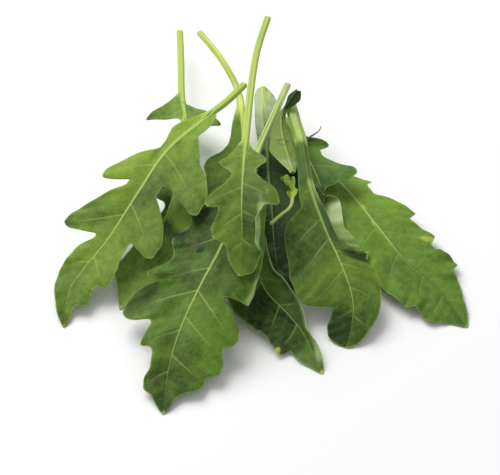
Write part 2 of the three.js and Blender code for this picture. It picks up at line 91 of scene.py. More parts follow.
ROLLED_SHARE = 0.6  # part of a rolled lip's width that bends
LIP_SHOWN = (10, 60)  # turns of a lip, in degrees, between which its underside comes to show
SECOND_RIPPLE = (0.5, 0.43)  # height and length of a margin's smaller waves, in its own waves
WAVES = (  # direction in radians, length and height of the waves that a blade dries into
    (0.4, 23, 0.3), (1.3, 16, 0.25), (2.2, 11, 0.16), (2.9, 7.5, 0.08),
)
WAVES_BEGIN = (0.5, 5)  # distances from the rib between which those waves come up
MARK_EDGE = (0.55, 1.15)  # shares of a mark's size between which it fades outwards
HOLLOW_EDGE = (0.45, 0.75)  # and between which a hollow one fades inwards
STALK_ENDS = 0.5  # share of full blade from which the stalk's colour fades
STALK_FADE = 25.0  # length over which the stalk's colour runs into the blade's rib
TIP_FADE = (0.6, 5)  # rib radii that the rib's colour loses at the tip, and how late it does
STREAKS = (0.06, 1.6, 1.0)  # how the stalk's streaks are drawn out along it
PATTERN_SHIFT = 40.0  # moves each leaf's own part of the noise, by where its stalk begins
NARROW = 6.0  # reach of a margin below which its waves die down

RIB_EDGE = (0.85, 0.3)  # distances in rib radii between which the rib's colour comes up
VEIN_LEAST = 0.35  # width of a vein that hardly shows, against one that shows in full
VEIN_EDGE = (1.0, 0.1)  # half widths of a side vein between which it comes up
VEIN_SHOWN = 0.7  # strength from which a side vein has its full colour
NET_SCALE, NET_DISORDER = 0.55, 0.9  # cells of the fine net to the millimetre, how uneven they are
NET_EDGE = (0.16, 0.02)  # distances from a cell's edge between which the net comes up
GRAIN_SCALE = 2.2  # grains to the millimetre
SIDE_DEPTH, NET_DEPTH, GRAIN_DEPTH = 0.9, 0.35, 0.5  # shares of the relief
BLOTCH_SCALE, BLOTCH_SHARE = 0.13, 0.3  # blotches to the millimetre, and part in the shade
BLOTCH_EDGE = (0.3, 0.7)  # values of the noise between which a blotch comes up
FLECK_SCALE, FLECK_SHARE = 0.5, 0.7  # the same of the smaller flecks
STREAK_EDGE = (0.35, 0.7)  # values of the noise between which a stalk's streak comes up
NET_TINT = 0.035  # share of the rib's colour in the net
RIM_LIGHT_EDGE = (0.45, 0.05)  # distances from the margin between which the painted rim light comes up
UNDERSIDE_TINT = 0.75  # share of the underside's colour where that side shows
RELIEF_DEPTH = 0.25  # of the veins in the blade


def srgb(red: float, green: float, blue: float) -> Colour:
    """Turn a colour of the screen into one for a socket.

    Args:
        red: Its red, from 0 to 255.
        green: Its green.
        blue: Its blue.

    Returns:
        Linear red, green and blue, and full opacity.
    """
    parts = [channel / 255 for channel in (red, green, blue)]
    linear = [c / 12.92 if c <= 0.04045 else ((c + 0.055) / 1.055) ** 2.4 for c in parts]
    return (linear[0], linear[1], linear[2], 1.0)


def ease(low: float, high: float, value: np.ndarray) -> np.ndarray:
    """Smooth step of a value from 0 at low to 1 at high."""
    share = np.clip((value - low) / (high - low), 0, 1)
    return share * share * (3 - 2 * share)


def cubic(share: np.ndarray, ends: tuple[Any, Any], slopes: tuple[Any, Any], run: Any) -> np.ndarray:
    """Read the cubic that joins two ends.

    Args:
        share: Where to read it, from 0 at the first end to 1 at the second.
        ends: Values at the ends.
        slopes: Slopes there.
        run: Distance between the ends.

    Returns:
        The values there.
    """
    t, t2, t3 = share, share * share, share * share * share
    level = (2 * t3 - 3 * t2 + 1) * ends[0] + (3 * t2 - 2 * t3) * ends[1]
    return level + ((t3 - 2 * t2 + t) * slopes[0] + (t3 - t2) * slopes[1]) * run


def through(knots: Knots, place: np.ndarray) -> np.ndarray:
    """Read the smooth curve through knots, which never overshoots them.

    Args:
        knots: Places and values, in rising order of place.
        place: Where to read the curve; beyond its ends it stays level.

    Returns:
        The values there.
    """
    at, value = np.array(knots, float).T
    place = np.clip(place, at[0], at[-1])
    if len(at) == 1:
        return np.full(place.shape, value[0])
    run = np.diff(at)
    rise = np.diff(value) / run
    near, far = 2 * run[1:] + run[:-1], run[1:] + 2 * run[:-1]
    same_way = rise[:-1] * rise[1:] > 0
    before, after = np.where(same_way, rise[:-1], 1), np.where(same_way, rise[1:], 1)
    slope = np.empty(len(at))
    slope[0], slope[-1] = rise[0], rise[-1]
    slope[1:-1] = np.where(same_way, (near + far) / (near / before + far / after), 0)
    i = np.clip(np.searchsorted(at, place, side="right") - 1, 0, len(run) - 1)
    share = (place - at[i]) / run[i]
    return cubic(share, (value[i], value[i + 1]), (slope[i], slope[i + 1]), run[i])


class Rib:
    """A leaf's rib: a smooth curve through points, read by the distance along it."""

    def __init__(self, points: tuple[Point, ...]) -> None:
        """Lay the curve.

        Args:
            points: Points that it runs through, from the cut end of the stalk to the tip.
        """
        knots = np.array(points, float) + TO_ORIGIN
        spans = np.linalg.norm(np.diff(knots, axis=0), axis=1)
        marks = np.concatenate([[0], np.cumsum(spans)])
        slopes = np.empty_like(knots)
        slopes[1:-1] = (knots[2:] - knots[:-2]) / (marks[2:] - marks[:-2])[:, None]
        slopes[0] = (knots[1] - knots[0]) / spans[0]
        slopes[-1] = (knots[-1] - knots[-2]) / spans[-1]
        share = (np.arange(STEPS_PER_SPAN) / STEPS_PER_SPAN)[:, None]
        pieces = [
            cubic(share, (knots[i], knots[i + 1]), (slopes[i], slopes[i + 1]), span)
            for i, span in enumerate(spans)
        ]
        self.points = np.concatenate([*pieces, knots[-1:]])
        steps = np.linalg.norm(np.diff(self.points, axis=0), axis=1)
        self.marks = np.concatenate([[0], np.cumsum(steps)])
        self.length = float(self.marks[-1])

    def inside(self, distance: np.ndarray) -> np.ndarray:
        """Points of the curve itself, at distances along it."""
        read = [np.interp(distance, self.marks, self.points[:, axis]) for axis in range(3)]
        return np.stack(read, axis=-1)

    def direction(self, distance: np.ndarray) -> np.ndarray:
        """Find which way the curve runs.

        Args:
            distance: Distances along it.

        Returns:
            Unit vectors towards the tip.
        """
        low = self.inside(np.clip(distance - LOOK_AROUND, 0, self.length))
        step = self.inside(np.clip(distance + LOOK_AROUND, 0, self.length)) - low
        return step / np.linalg.norm(step, axis=-1, keepdims=True)

    def at(self, distance: np.ndarray) -> np.ndarray:
        """Points at distances along the rib, which runs on straight past its ends."""
        inner = np.clip(distance, 0, self.length)
        return self.inside(inner) + self.direction(inner) * (distance - inner)[..., None]


class Graph:
    """Adds and joins the nodes of a material or of a node group."""

    def __init__(self, tree: bpy.types.NodeTree) -> None:
        """Work on this node tree."""
        self.tree = tree

    def add(self, kind: str, inputs: dict[Any, Any], **settings: Any) -> bpy.types.Node:
        """Add a node.

        Args:
            kind: Its type, without the leading "ShaderNode".
            inputs: What goes into its sockets, each a socket or a constant.
            settings: Values of the node's own properties.

        Returns:
            The new node.
        """
        node = self.tree.nodes.new("ShaderNode" + kind)
        for name, value in settings.items():
            setattr(node, name, value)
        for name, value in inputs.items():
            if isinstance(value, bpy.types.NodeSocket):
                self.tree.links.new(value, node.inputs[name])
            else:
                node.inputs[name].default_value = value
        return node

    def math(self, operation: str, *values: Any) -> bpy.types.NodeSocket:
        """Result of a math operation on sockets or numbers."""
        return self.add("Math", dict(enumerate(values)), operation=operation).outputs[0]

    def step(self, value: Any, low: float, high: float) -> bpy.types.NodeSocket:
        """Smooth step of a value from 0 at low to 1 at high."""
        inputs = {"Value": value, "From Min": low, "From Max": high}
        return self.add("MapRange", inputs, interpolation_type="SMOOTHSTEP").outputs["Result"]

    def mix(self, share: Any, first: Any, second: Any) -> bpy.types.NodeSocket:
        """Colour between the first, at share 0, and the second, at share 1."""
        inputs = {0: share, 6: first, 7: second}
        return self.add("Mix", inputs, data_type="RGBA").outputs[2]

    def attribute(self, name: str) -> bpy.types.NodeSocket:
        """Value that the mesh holds under this name."""
        return self.add("Attribute", {}, attribute_name=name).outputs["Fac"]

    def place(self, name: str) -> bpy.types.NodeSocket:
        """Vector that the mesh holds under this name."""
        return self.add("Attribute", {}, attribute_name=name).outputs["Vector"]

    def noise(self, vector: Any, scale: float, detail: float = 3.0) -> bpy.types.NodeSocket:
        """Noise of 0 to 1 at this many blotches to the millimetre."""
        inputs = {"Vector": vector, "Scale": scale, "Detail": detail}
        return self.add("TexNoise", inputs).outputs[0]


def new_material(name: str, roughness: float, gloss: float) -> tuple[bpy.types.Material, Graph, Any]:
    """Start a material.

    Args:
        name: The material's name.
        roughness: Roughness of its surface.
        gloss: Strength of its shine.

    Returns:
        The material, its graph and the inputs of its shader.
    """
    material = bpy.data.materials.new(name)
    material.use_nodes = True
    inputs = material.node_tree.nodes["Principled BSDF"].inputs
    inputs["Roughness"].default_value = roughness
    inputs["Specular IOR Level"].default_value = gloss
    return material, Graph(material.node_tree), inputs


def new_group(name: str, inputs: dict[str, Any], outputs: dict[str, str]) -> tuple[Any, ...]:
    """Start a shader node group.

    Args:
        name: The group's name.
        inputs: Its inputs with their starting values, a colour having four parts.
        outputs: Its outputs with "Float" or "Color" for each.

    Returns:
        The group, its graph, its inner input node and its inner output node.
    """
    tree = bpy.data.node_groups.new(name, "ShaderNodeTree")
    for label, value in inputs.items():
        kind = "NodeSocketColor" if isinstance(value, tuple) else "NodeSocketFloat"
        socket = tree.interface.new_socket(label, in_out="INPUT", socket_type=kind)
        socket.default_value = value
    for label, kind in outputs.items():
        tree.interface.new_socket(label, in_out="OUTPUT", socket_type="NodeSocket" + kind)
    entry = tree.nodes.new("NodeGroupInput")
    leave = tree.nodes.new("NodeGroupOutput")
    return tree, Graph(tree), entry, leave


def vein_group() -> bpy.types.NodeTree:
    """Make the group that draws the veins of a leaf.

    Returns:
        The group. It puts out masks of the rib, the side veins and the fine net between
        them, and the height of the blade with its veins sunk into the upper face.
    """
    outputs = {"Rib": "Float", "Side Veins": "Float", "Net": "Float", "Height": "Float"}
    tree, graph, entry, leave = new_group("leaf_veins", {"Vein Width": 0.3}, outputs)
    width = entry.outputs["Vein Width"]
    rib = graph.step(graph.attribute("rib_share"), *RIB_EDGE)
    phase = graph.attribute("vein_phase")
    apart = graph.math("ABSOLUTE", graph.math("SUBTRACT", phase, graph.math("ROUND", phase)))
    shown = graph.attribute("vein_strength")
    half_width = graph.math("MULTIPLY", graph.math("ADD", shown, VEIN_LEAST), width)
    away = graph.math("MULTIPLY", apart, graph.attribute("vein_gap"))
    line = graph.step(graph.math("DIVIDE", away, half_width), *VEIN_EDGE)
    side = graph.math("MULTIPLY", line, graph.step(shown, 0.0, VEIN_SHOWN))
    cells = graph.add(
        "TexVoronoi",
        {"Vector": graph.place("leaf_place"), "Scale": NET_SCALE, "Randomness": NET_DISORDER},
        feature="DISTANCE_TO_EDGE",
    )
    blade = graph.attribute("blade")
    net = graph.math("MULTIPLY", graph.step(cells.outputs["Distance"], *NET_EDGE), blade)
    grain = graph.noise(graph.place("leaf_place"), GRAIN_SCALE)
    side_depth = graph.math("MULTIPLY", side, SIDE_DEPTH)
    sunk = graph.math("ADD", side_depth, graph.math("MULTIPLY", net, NET_DEPTH))
    height = graph.math("SUBTRACT", graph.math("MULTIPLY", grain, GRAIN_DEPTH), sunk)
    up = graph.math("SUBTRACT", 1.0, graph.math("MULTIPLY", graph.attribute("under"), 2.0))
    results = {
        "Rib": rib,
        "Side Veins": side,
        "Net": net,
        "Height": graph.math("MULTIPLY", height, up),
    }
    for label, socket in results.items():
        tree.links.new(socket, leave.inputs[label])
    return tree


def skin_group() -> bpy.types.NodeTree:
    """Make the group that colours a leaf.

    Returns:
        The group. It blends a blade's painted shade and blotches, its veins, a margin painted
        paler as rim light and the paler underside, lays the painted marks over it, and runs
        into the streaked stalk.
    """
    white = (1.0, 1.0, 1.0, 1.0)
    inputs = {
        "Light": white,
        "Dark": white,
        "Rib Colour": white,
        "Stalk Colour": white,
        "Underside": white,
        "Rib": 0.0,
        "Side Veins": 0.0,
        "Net": 0.0,
        "Side Vein Share": 0.4,
        "Rim Light Share": 0.35,
    }
    tree, graph, entry, leave = new_group("leaf_skin", inputs, {"Colour": "Color"})
    given = entry.outputs
    place = graph.place("leaf_place")
    blotch = graph.step(graph.noise(place, BLOTCH_SCALE), *BLOTCH_EDGE)
    blotch = graph.math("MULTIPLY", graph.math("SUBTRACT", blotch, 0.5), BLOTCH_SHARE)
    fleck = graph.math("SUBTRACT", graph.noise(place, FLECK_SCALE, detail=4.0), 0.5)
    patches = graph.math("ADD", blotch, graph.math("MULTIPLY", fleck, FLECK_SHARE))
    # painted shade: the shade attribute, with random blotches, moves the blade towards its dark colour
    share = graph.math("ADD", graph.attribute("shade"), patches)
    blade = graph.mix(share, given["Light"], given["Dark"])
    blade = graph.mix(graph.math("MULTIPLY", given["Net"], NET_TINT), blade, given["Rib Colour"])
    side_veins = graph.math("MULTIPLY", given["Side Veins"], given["Side Vein Share"])
    blade = graph.mix(side_veins, blade, given["Rib Colour"])
    # painted rim light: the margin painted paler, as its edge would catch the light
    rim = graph.step(graph.attribute("margin"), *RIM_LIGHT_EDGE)
    blade = graph.mix(graph.math("MULTIPLY", rim, given["Rim Light Share"]), blade, given["Rib Colour"])
    under = graph.math("MAXIMUM", graph.attribute("under"), graph.attribute("rolled"))
    blade = graph.mix(graph.math("MULTIPLY", under, UNDERSIDE_TINT), blade, given["Underside"])
    streak = graph.noise(graph.place("stalk_place"), 1.0, detail=2.0)
    stalk = graph.mix(graph.step(streak, *STREAK_EDGE), given["Stalk Colour"], given["Rib Colour"])
    base = graph.attribute("stalk")
    rib = graph.mix(base, given["Rib Colour"], stalk)
    blade = graph.mix(given["Rib"], blade, rib)
    skin = graph.mix(graph.attribute("blade"), stalk, blade)
    marks = graph.add("Attribute", {}, attribute_name="marks")
    skin = graph.mix(marks.outputs["Alpha"], skin, marks.outputs["Color"])
    tree.links.new(skin, leave.inputs["Colour"])
    return tree


@dataclass(frozen=True)
class LeafFinish:
    """Finish of a leaf: its colours, in red, green and blue of 0 to 255, and its gloss. Painted
    shade runs towards the dark colour, and rim is the share of painted rim light on the margin.
    """

    light: tuple[int, int, int]
    dark: tuple[int, int, int]
    rib: tuple[int, int, int]
    stalk: tuple[int, int, int]
    underside: tuple[int, int, int] = (134, 154, 88)
    vein_width: float = 0.45
    side_veins: float = 0.4
    # how strongly the margin is painted pale as rim light
    rim: float = 0.35
    roughness: float = 0.5
    gloss: float = 0.1
    relief: float = 0.5

    def material(self, name: str, groups: dict[str, bpy.types.NodeTree]) -> bpy.types.Material:
        """Make the material.

        Args:
            name: The material's name.
            groups: The shared groups "veins" and "skin".

        Returns:
            The new material.
        """
        material, graph, inputs = new_material(name, self.roughness, self.gloss)
        veins = graph.add("Group", {}, node_tree=groups["veins"])
        veins.inputs["Vein Width"].default_value = self.vein_width
        skin = graph.add("Group", {}, node_tree=groups["skin"])
        colours = {
            "Light": self.light,
            "Dark": self.dark,
            "Rib Colour": self.rib,
            "Stalk Colour": self.stalk,
            "Underside": self.underside,
        }
        for label, colour in colours.items():
            skin.inputs[label].default_value = srgb(*colour)
        skin.inputs["Side Vein Share"].default_value = self.side_veins
        skin.inputs["Rim Light Share"].default_value = self.rim
        links = material.node_tree.links
        for label in ("Rib", "Side Veins", "Net"):
            links.new(veins.outputs[label], skin.inputs[label])
        links.new(skin.outputs["Colour"], inputs["Base Color"])
        bump = graph.add("Bump", {"Strength": self.relief, "Distance": RELIEF_DEPTH * MM})
        links.new(veins.outputs["Height"], bump.inputs["Height"])
        links.new(bump.outputs["Normal"], inputs["Normal"])
        return material


class Finish(Enum):
    """Finishes that the bunch's leaves start from."""

    BRIGHT = LeafFinish((134, 164, 56), (72, 98, 36), (166, 194, 104), (176, 192, 84))
    FRESH = LeafFinish((118, 154, 54), (62, 92, 36), (158, 178, 100), (176, 192, 84))
    DARK = LeafFinish((112, 142, 54), (44, 66, 24), (158, 184, 100), (178, 194, 92))
    # partly the leaf's own deep green and partly painted shade, for leaves that lie low in the shade of
    # others
    DEEP_AND_SHADED = LeafFinish((84, 112, 44), (32, 48, 18), (128, 154, 76), (200, 216, 124))
    PALE = LeafFinish((140, 164, 84), (110, 134, 56), (176, 194, 112), (176, 194, 96))


class Stain(Enum):
    """Colours of the small marks painted on leaves, in red, green and blue of 0 to 255. Some
    are the leaf's own spots; others are painted shade in holes, gaps and folds, and a
    painted highlight.
    """

    # painted shadow seen through holes, slits and gaps
    HOLE_SHADOW = (18, 26, 12)
    DARK = (40, 58, 24)
    BROWN = (96, 84, 46)
    YELLOW = (196, 204, 84)
    PALE = (186, 200, 148)
    PINK = (206, 184, 140)
    GREEN = (74, 100, 42)


@dataclass(frozen=True)
class Mark:
    """A soft mark painted on a blade, a spot of the leaf's own, painted shade or a painted
    highlight: its place along and across the leaf, and its half sizes.
    """

    stain: Stain
    foot: float
    away: float
    length: float
    width: float
    strength: float = 0.8
    hollow: bool = False

    def cover(self, foot: np.ndarray, away: np.ndarray) -> np.ndarray:
        """Find how much of the mark shows.

        Args:
            foot: Feet of points of the leaf.
            away: Their distances from the rib, below 0 on the left.

        Returns:
            Cover of the points, from 0 to the mark's strength.
        """
        off = np.hypot((foot - self.foot) / self.length, (away - self.away) / self.width)
        shown = 1 - ease(*MARK_EDGE, off)
        if self.hollow:
            shown = shown * ease(*HOLLOW_EDGE, off)
        return shown * self.strength


@dataclass
class Leaf:
    """One leaf, its stalk and its blade grown as one piece.

    Its rib runs from the cut end of the stalk to the tip. right and left give how far the
    side veins reach at their feet along the rib, and "right" is the right hand of someone
    who looks from the tip up to the stalk. fold and curl bend the blade upwards, in
    degrees and in degrees per 10 mm, lip rolls the last lip_width of a margin up, and
    roll turns the whole blade about its rib. ripple is the height and length of the waves
    of the margin, and groove the depth of the stalk's furrow in rib radii. veins_right and
    veins_left are the feet of the stronger side veins, and fan holds the feet between which
    side veins turn from square to slanting. quilt and heave are the heights of the bulges
    between side veins and of the broad waves. shade goes from 0, the finish's light colour,
    to 1, its dark one. It is partly the leaf's own tone and partly painted shade, which
    darkens a blade where it turns away from the light and where other leaves shadow it.
    rows and columns count the faces along and across the leaf.
    """

    name: str
    slot: str
    finish: LeafFinish
    rib: tuple[Point, ...]
    right: Knots
    left: Knots
    radius: Knots
    fan: tuple[float, float]
    veins_right: tuple[float, ...]
    veins_left: tuple[float, ...]
    fold_right: Knots = ((0, 8),)
    fold_left: Knots = ((0, 8),)
    curl_right: Knots = ((0, 0),)
    curl_left: Knots = ((0, 0),)
    lip_right: Knots = ((0, 0),)
    lip_left: Knots = ((0, 0),)
    lip_width: Knots = ((0, 1),)
    roll: Knots = ((0, 0),)
    # painted shade, with the leaf's own tone: how far each side runs from the light colour to the dark
    # one
    shade_right: Knots = ((0, 0.35),)
    shade_left: Knots = ((0, 0.35),)
    ripple: tuple[float, float] = (0.3, 9.0)
    groove: float = 0.22
    quilt: float = 0.1
    heave: float = 1.0
    marks: tuple[Mark, ...] = ()
    rows: int = 220
    columns: int = 48

    def radius_at(self, foot: np.ndarray) -> np.ndarray:
        """Radius of the rib at feet along it."""
        return through(self.radius, foot)

    def reach(self, side: int, foot: np.ndarray) -> np.ndarray:
        """Distance from the rib to the margin of a side at feet along the rib."""
        outline = self.right if side > 0 else self.left
        return np.maximum(through(outline, foot), self.radius_at(foot))

    def blade(self, side: int, foot: np.ndarray) -> np.ndarray:
        """Share of full blade at feet along the rib, 0 on the bare stalk."""
        return ease(BARE_STALK, FULL_BLADE, self.reach(side, foot) / self.radius_at(foot))

    def row_feet(self, length: float) -> np.ndarray:
        """Choose the rows, which lie closer where the margin climbs steeply.

        Args:
            length: The rib's length.

        Returns:
            Feet of the rows.
        """
        fine = np.linspace(0, length, ROW_SAMPLES)
        climb = sum(np.abs(np.gradient(self.reach(side, fine), fine)) for side in (-1, 1))
        measure = np.cumsum(np.sqrt(1 + np.minimum(climb, STEEPEST) ** 2 / 2))
        measure = (measure - measure[0]) / (measure[-1] - measure[0])
        return np.interp(np.linspace(0, 1, self.rows + 1), measure, fine)

    def spread(self, side: int, feet: np.ndarray, shares: np.ndarray) -> np.ndarray:
        """Distances from the rib of the points of each row of one side.

        Args:
            side: 1 for the right side, -1 for the left.
            feet: Feet of the rows.
            shares: Place of each column, from 0 at the rib to 1 at the margin.

        Returns:
            Distances, one row for each foot.
        """
        radius = self.radius_at(feet)[:, None]
        reach = self.reach(side, feet)[:, None]
        blade = self.blade(side, feet)[:, None]
        on_rib = radius * np.sin(np.clip(shares / RIB_COLUMNS, 0, 1) * math.pi / 2)
        beyond = (reach - radius) * np.clip((shares - RIB_COLUMNS) / (1 - RIB_COLUMNS), 0, 1)
        stalk = reach * np.sin(shares * math.pi / 2)
        return stalk * (1 - blade) + (on_rib + beyond) * blade

    def rolled(self, side: int, foot: np.ndarray, away: np.ndarray) -> np.ndarray:
        """Find where a lip shows its underside.

        Args:
            side: 1 for the right side, -1 for the left.
            foot: Feet of the points.
            away: Their distances from the rib.

        Returns:
            Shares from 0 on the open blade to 1 at the rolled margin.
        """
        lip = through(self.lip_right if side > 0 else self.lip_left, foot)
        width = through(self.lip_width, foot)
        inside = away - self.reach(side, foot) + width
        return ease(0, ROLLED_SHARE, inside / width) * ease(*LIP_SHOWN, lip)

    def bend(self, side: int, feet: np.ndarray, away: np.ndarray) -> tuple[np.ndarray, ...]:
        """Follow the side veins' bend.

        Args:
            side: 1 for the right side, -1 for the left.
            feet: Feet of the side veins.
            away: Distances from the rib, a row for each foot.

        Returns:
            How far the points lie across from the rib and how far above it.
        """
        if side > 0:
            fold, curl, lip = self.fold_right, self.curl_right, self.lip_right
        else:
            fold, curl, lip = self.fold_left, self.curl_left, self.lip_left
        reach = self.reach(side, feet)[:, None]
        step = reach / STEPS_ACROSS
        middle = (np.arange(STEPS_ACROSS) + 0.5) * step
        width = through(self.lip_width, feet)[:, None]
        rolled = ease(0, ROLLED_SHARE, (middle - reach + width) / width)
        turn = through(fold, feet)[:, None] + through(curl, feet)[:, None] * middle / CURL_LENGTH
        turn = (turn + through(lip, feet)[:, None] * rolled) * self.blade(side, feet)[:, None]
        start = np.zeros((len(feet), 1))
        place = np.clip(away / step, 0, STEPS_ACROSS - 1e-6)
        first = np.floor(place).astype(int)
        read = []
        for part in (np.cos(np.radians(turn)), np.sin(np.radians(turn))):
            path = np.concatenate([start, np.cumsum(part * step, axis=1)], axis=1)
            low = np.take_along_axis(path, first, axis=1)
            high = np.take_along_axis(path, first + 1, axis=1)
            read.append(low + (high - low) * (place - first))
        return read[0], read[1]

    def side_veins(self, side: int, foot: np.ndarray, away: np.ndarray) -> tuple[np.ndarray, ...]:
        """Place the side veins.

        Args:
            side: 1 for the right side, -1 for the left.
            foot: Feet of the points.
            away: Their distances from the rib.

        Returns:
            A count that is whole on each vein, the veins' distance apart, and how
            strongly the nearest one shows.
        """
        strong = sorted(self.veins_right if side > 0 else self.veins_left)
        feet, shows = [strong[0] - END_GAP], [0.0]
        for vein in [*strong, strong[-1] + END_GAP]:
            if vein - feet[-1] > WIDE_GAP:
                feet.append((feet[-1] + vein) / 2)
                shows.append(FAINT)
            feet.append(vein)
            shows.append(1.0)
        shows[-1] = FAINT
        arched = foot - ARCH[0] * away - ARCH[1] * away**2
        phase = np.interp(arched, feet, np.arange(len(feet)))
        gap = np.interp(arched, (np.array(feet)[1:] + np.array(feet)[:-1]) / 2, np.diff(feet))
        taper = 1 - away / np.maximum(VEIN_REACH * self.reach(side, foot), 0.1)
        shown = np.interp(arched, feet, shows) * np.clip(taper, 0, 1) ** VEIN_TAPER
        return phase, gap * math.sin(math.radians(VEIN_ANGLE)), shown

    def waves(self, side: int, foot: np.ndarray, away: np.ndarray) -> np.ndarray:
        """Find the height of the broad, uneven waves that a blade dries into.

        Args:
            side: 1 for the right side, -1 for the left.
            foot: Feet of the points.
            away: Their distances from the rib.

        Returns:
            Heights of the points.
        """
        shift = self.rib[0][0] + 3 * side
        height = np.zeros_like(foot)
        for turn, length, size in WAVES:
            way = foot * math.cos(turn) + away * math.sin(turn)
            height += size * np.sin(2 * math.pi * way / length + shift * (1 + turn))
        return height

    def surface(self, feet: np.ndarray, shares: np.ndarray) -> dict[str, np.ndarray]:
        """Lay out the leaf on a grid of rows, one for each foot, and columns.

        Args:
            feet: Feet of the rows along the rib.
            shares: Columns, from -1 at the left margin through 0 at the rib to 1.

        Returns:
            "upper" and "lower" points of the two faces in millimetres, and for each
            column of each row the values that the finish reads.
        """
        rib = Rib(self.rib)
        foot = feet[:, None] + 0 * shares
        grid: dict[str, list[np.ndarray]] = {}
        for side, columns in ((-1, shares < 0), (1, shares >= 0)):
            away = self.spread(side, feet, np.abs(shares[columns]))
            across, above = self.bend(side, feet, away)
            own = foot[:, columns]
            slant = ease(*self.fan, own) / math.tan(math.radians(VEIN_ANGLE))
            along = own + away * slant
            reach = self.reach(side, own)
            blade = self.blade(side, own)
            phase, gap, shown = self.side_veins(side, own, away)
            inside = away / np.maximum(reach, NARROW)
            bulge = np.sin(math.pi * phase) ** 2 * 4 * inside * (1 - away / reach)
            turns = 2 * math.pi * own / self.ripple[1]
            wave = np.sin(turns + side + self.rib[0][0])
            wave = wave + SECOND_RIPPLE[0] * np.sin(turns / SECOND_RIPPLE[1] + 2 * side)
            relief = self.quilt * bulge + self.ripple[0] * wave * inside**2
            relief = relief + self.heave * self.waves(side, own, away) * ease(*WAVES_BEGIN, away)
            values = {
                "along": along,
                "across": side * across,
                "above": above + relief * blade,
                "away": side * away,
                "blade": blade,
                "vein_phase": phase,
                "vein_gap": gap,
                "vein_strength": shown * blade,
                "margin": reach - away,
                # painted shade of this side, with the leaf's own tone
                "shade": through(self.shade_right if side > 0 else self.shade_left, own),
                "rolled": self.rolled(side, own, away),
            }
            for name, value in values.items():
                grid.setdefault(name, []).append(value)
        laid = {name: np.concatenate(parts, axis=1) for name, parts in grid.items()}
        laid["foot"] = foot
        laid["radius"] = self.radius_at(foot)
        direction = rib.direction(np.clip(laid["along"], 0, rib.length))
        flat = np.stack([-direction[..., 1], direction[..., 0], 0 * foot], axis=-1)
        flat /= np.linalg.norm(flat, axis=-1, keepdims=True)
        up = np.cross(direction, flat)
        turn = np.radians(through(self.roll, laid["along"]))[..., None]
        to_right = flat * np.cos(turn) + up * np.sin(turn)
        up = up * np.cos(turn) - flat * np.sin(turn)
        middle = rib.at(laid["along"]) + to_right * laid["across"][..., None]
        middle += up * laid["above"][..., None]
        middle[..., 2] -= SETTLED * (1 - ease(*SETTLING, middle[..., 2]))
        out = np.cross(np.gradient(middle, axis=0), np.gradient(middle, axis=1))
        out /= np.maximum(np.linalg.norm(out, axis=-1, keepdims=True), 1e-9)
        above, below = self.thickness(laid)
        laid["upper"] = middle + out * above[..., None]
        laid["lower"] = middle - out * below[..., None]
        for face in ("upper", "lower"):
            laid[face][..., 2] = np.maximum(laid[face][..., 2], LOWEST)
        return laid

    def thickness(self, laid: dict[str, np.ndarray]) -> tuple[np.ndarray, np.ndarray]:
        """Find how thick the leaf is.

        Args:
            laid: What surface() has laid out so far.

        Returns:
            How far the leaf reaches above and below the middle of its blade.
        """
        radius = laid["radius"]
        hump = np.sqrt(np.clip(1 - (laid["away"] / radius) ** 2, 0, 1)) * radius
        groove = self.groove * radius * np.exp(-((laid["away"] / (GROOVE_WIDTH * radius)) ** 2))
        inwards = ease(0, MARGIN_WIDTH, laid["margin"])
        half = BLADE_THICKNESS / 2 * (THIN_MARGIN + (1 - THIN_MARGIN) * inwards)
        stalk = 1 - laid["blade"]
        round_half = STALK_SKIN + hump * STALK_ROUNDNESS
        above = (round_half - groove) * stalk + (half + hump * RIB_TOPSIDE) * (1 - stalk)
        below = round_half * stalk + (half + hump * RIB_UNDERSIDE) * (1 - stalk)
        return above, below

    def slab(self) -> bpy.types.Object:
        """Model a flat slab with a row and a column for each of the leaf's own.

        Returns:
            The slab.
        """
        bpy.ops.object.select_all(action="DESELECT")
        bpy.ops.mesh.primitive_grid_add(
            x_subdivisions=self.columns, y_subdivisions=self.rows, size=2
        )
        bpy.ops.object.mode_set(mode="EDIT")
        bpy.ops.mesh.select_all(action="SELECT")
        bpy.ops.mesh.extrude_region_move(TRANSFORM_OT_translate={"value": (0, 0, -1)})
        bpy.ops.object.mode_set(mode="OBJECT")
        return bpy.context.object

    def shape(self, piece: bpy.types.Object) -> None:
        """Give the slab the leaf's form, and store what the finish reads.

        Args:
            piece: The flat slab. Its place across becomes the place across the blade,
                its length the leaf's length, and its two faces the leaf's faces.
        """
        flat = np.empty(len(piece.data.vertices) * 3)
        piece.data.vertices.foreach_get("co", flat)
        x, y, z = flat.reshape(-1, 3).T
        row = np.rint((y + 1) / 2 * self.rows).astype(int)
        column = np.rint((x + 1) / 2 * self.columns).astype(int)
        under = z < -0.5
        rib = Rib(self.rib)
        laid = self.surface(self.row_feet(rib.length), np.linspace(-1, 1, self.columns + 1))
        points = np.where(under[:, None], laid["lower"][row, column], laid["upper"][row, column])
        piece.data.vertices.foreach_set("co", (points * MM).ravel())
        piece.data.update()
        fade = TIP_FADE[0] * (laid["foot"] / rib.length) ** TIP_FADE[1]
        start = laid["foot"][np.argmax(laid["blade"].max(axis=1) > STALK_ENDS), 0]
        laid["rib_share"] = np.abs(laid["away"]) / laid["radius"] + fade
        laid["stalk"] = 1 - ease(start, start + STALK_FADE, laid["foot"])
        for name in (
            "rib_share", "vein_phase", "vein_gap", "vein_strength", "margin", "blade", "stalk",
            "shade", "rolled",
        ):
            self.store(piece, name, laid[name][row, column])
        self.paint(piece, laid["foot"][row, column], laid["away"][row, column])
        self.store(piece, "under", under.astype(float))
        shift = PATTERN_SHIFT * abs(self.rib[0][0])
        place = np.stack([laid["along"], laid["away"], 0 * laid["foot"] + shift], axis=-1)
        self.store(piece, "leaf_place", place[row, column])
        self.store(piece, "stalk_place", place[row, column] * STREAKS)

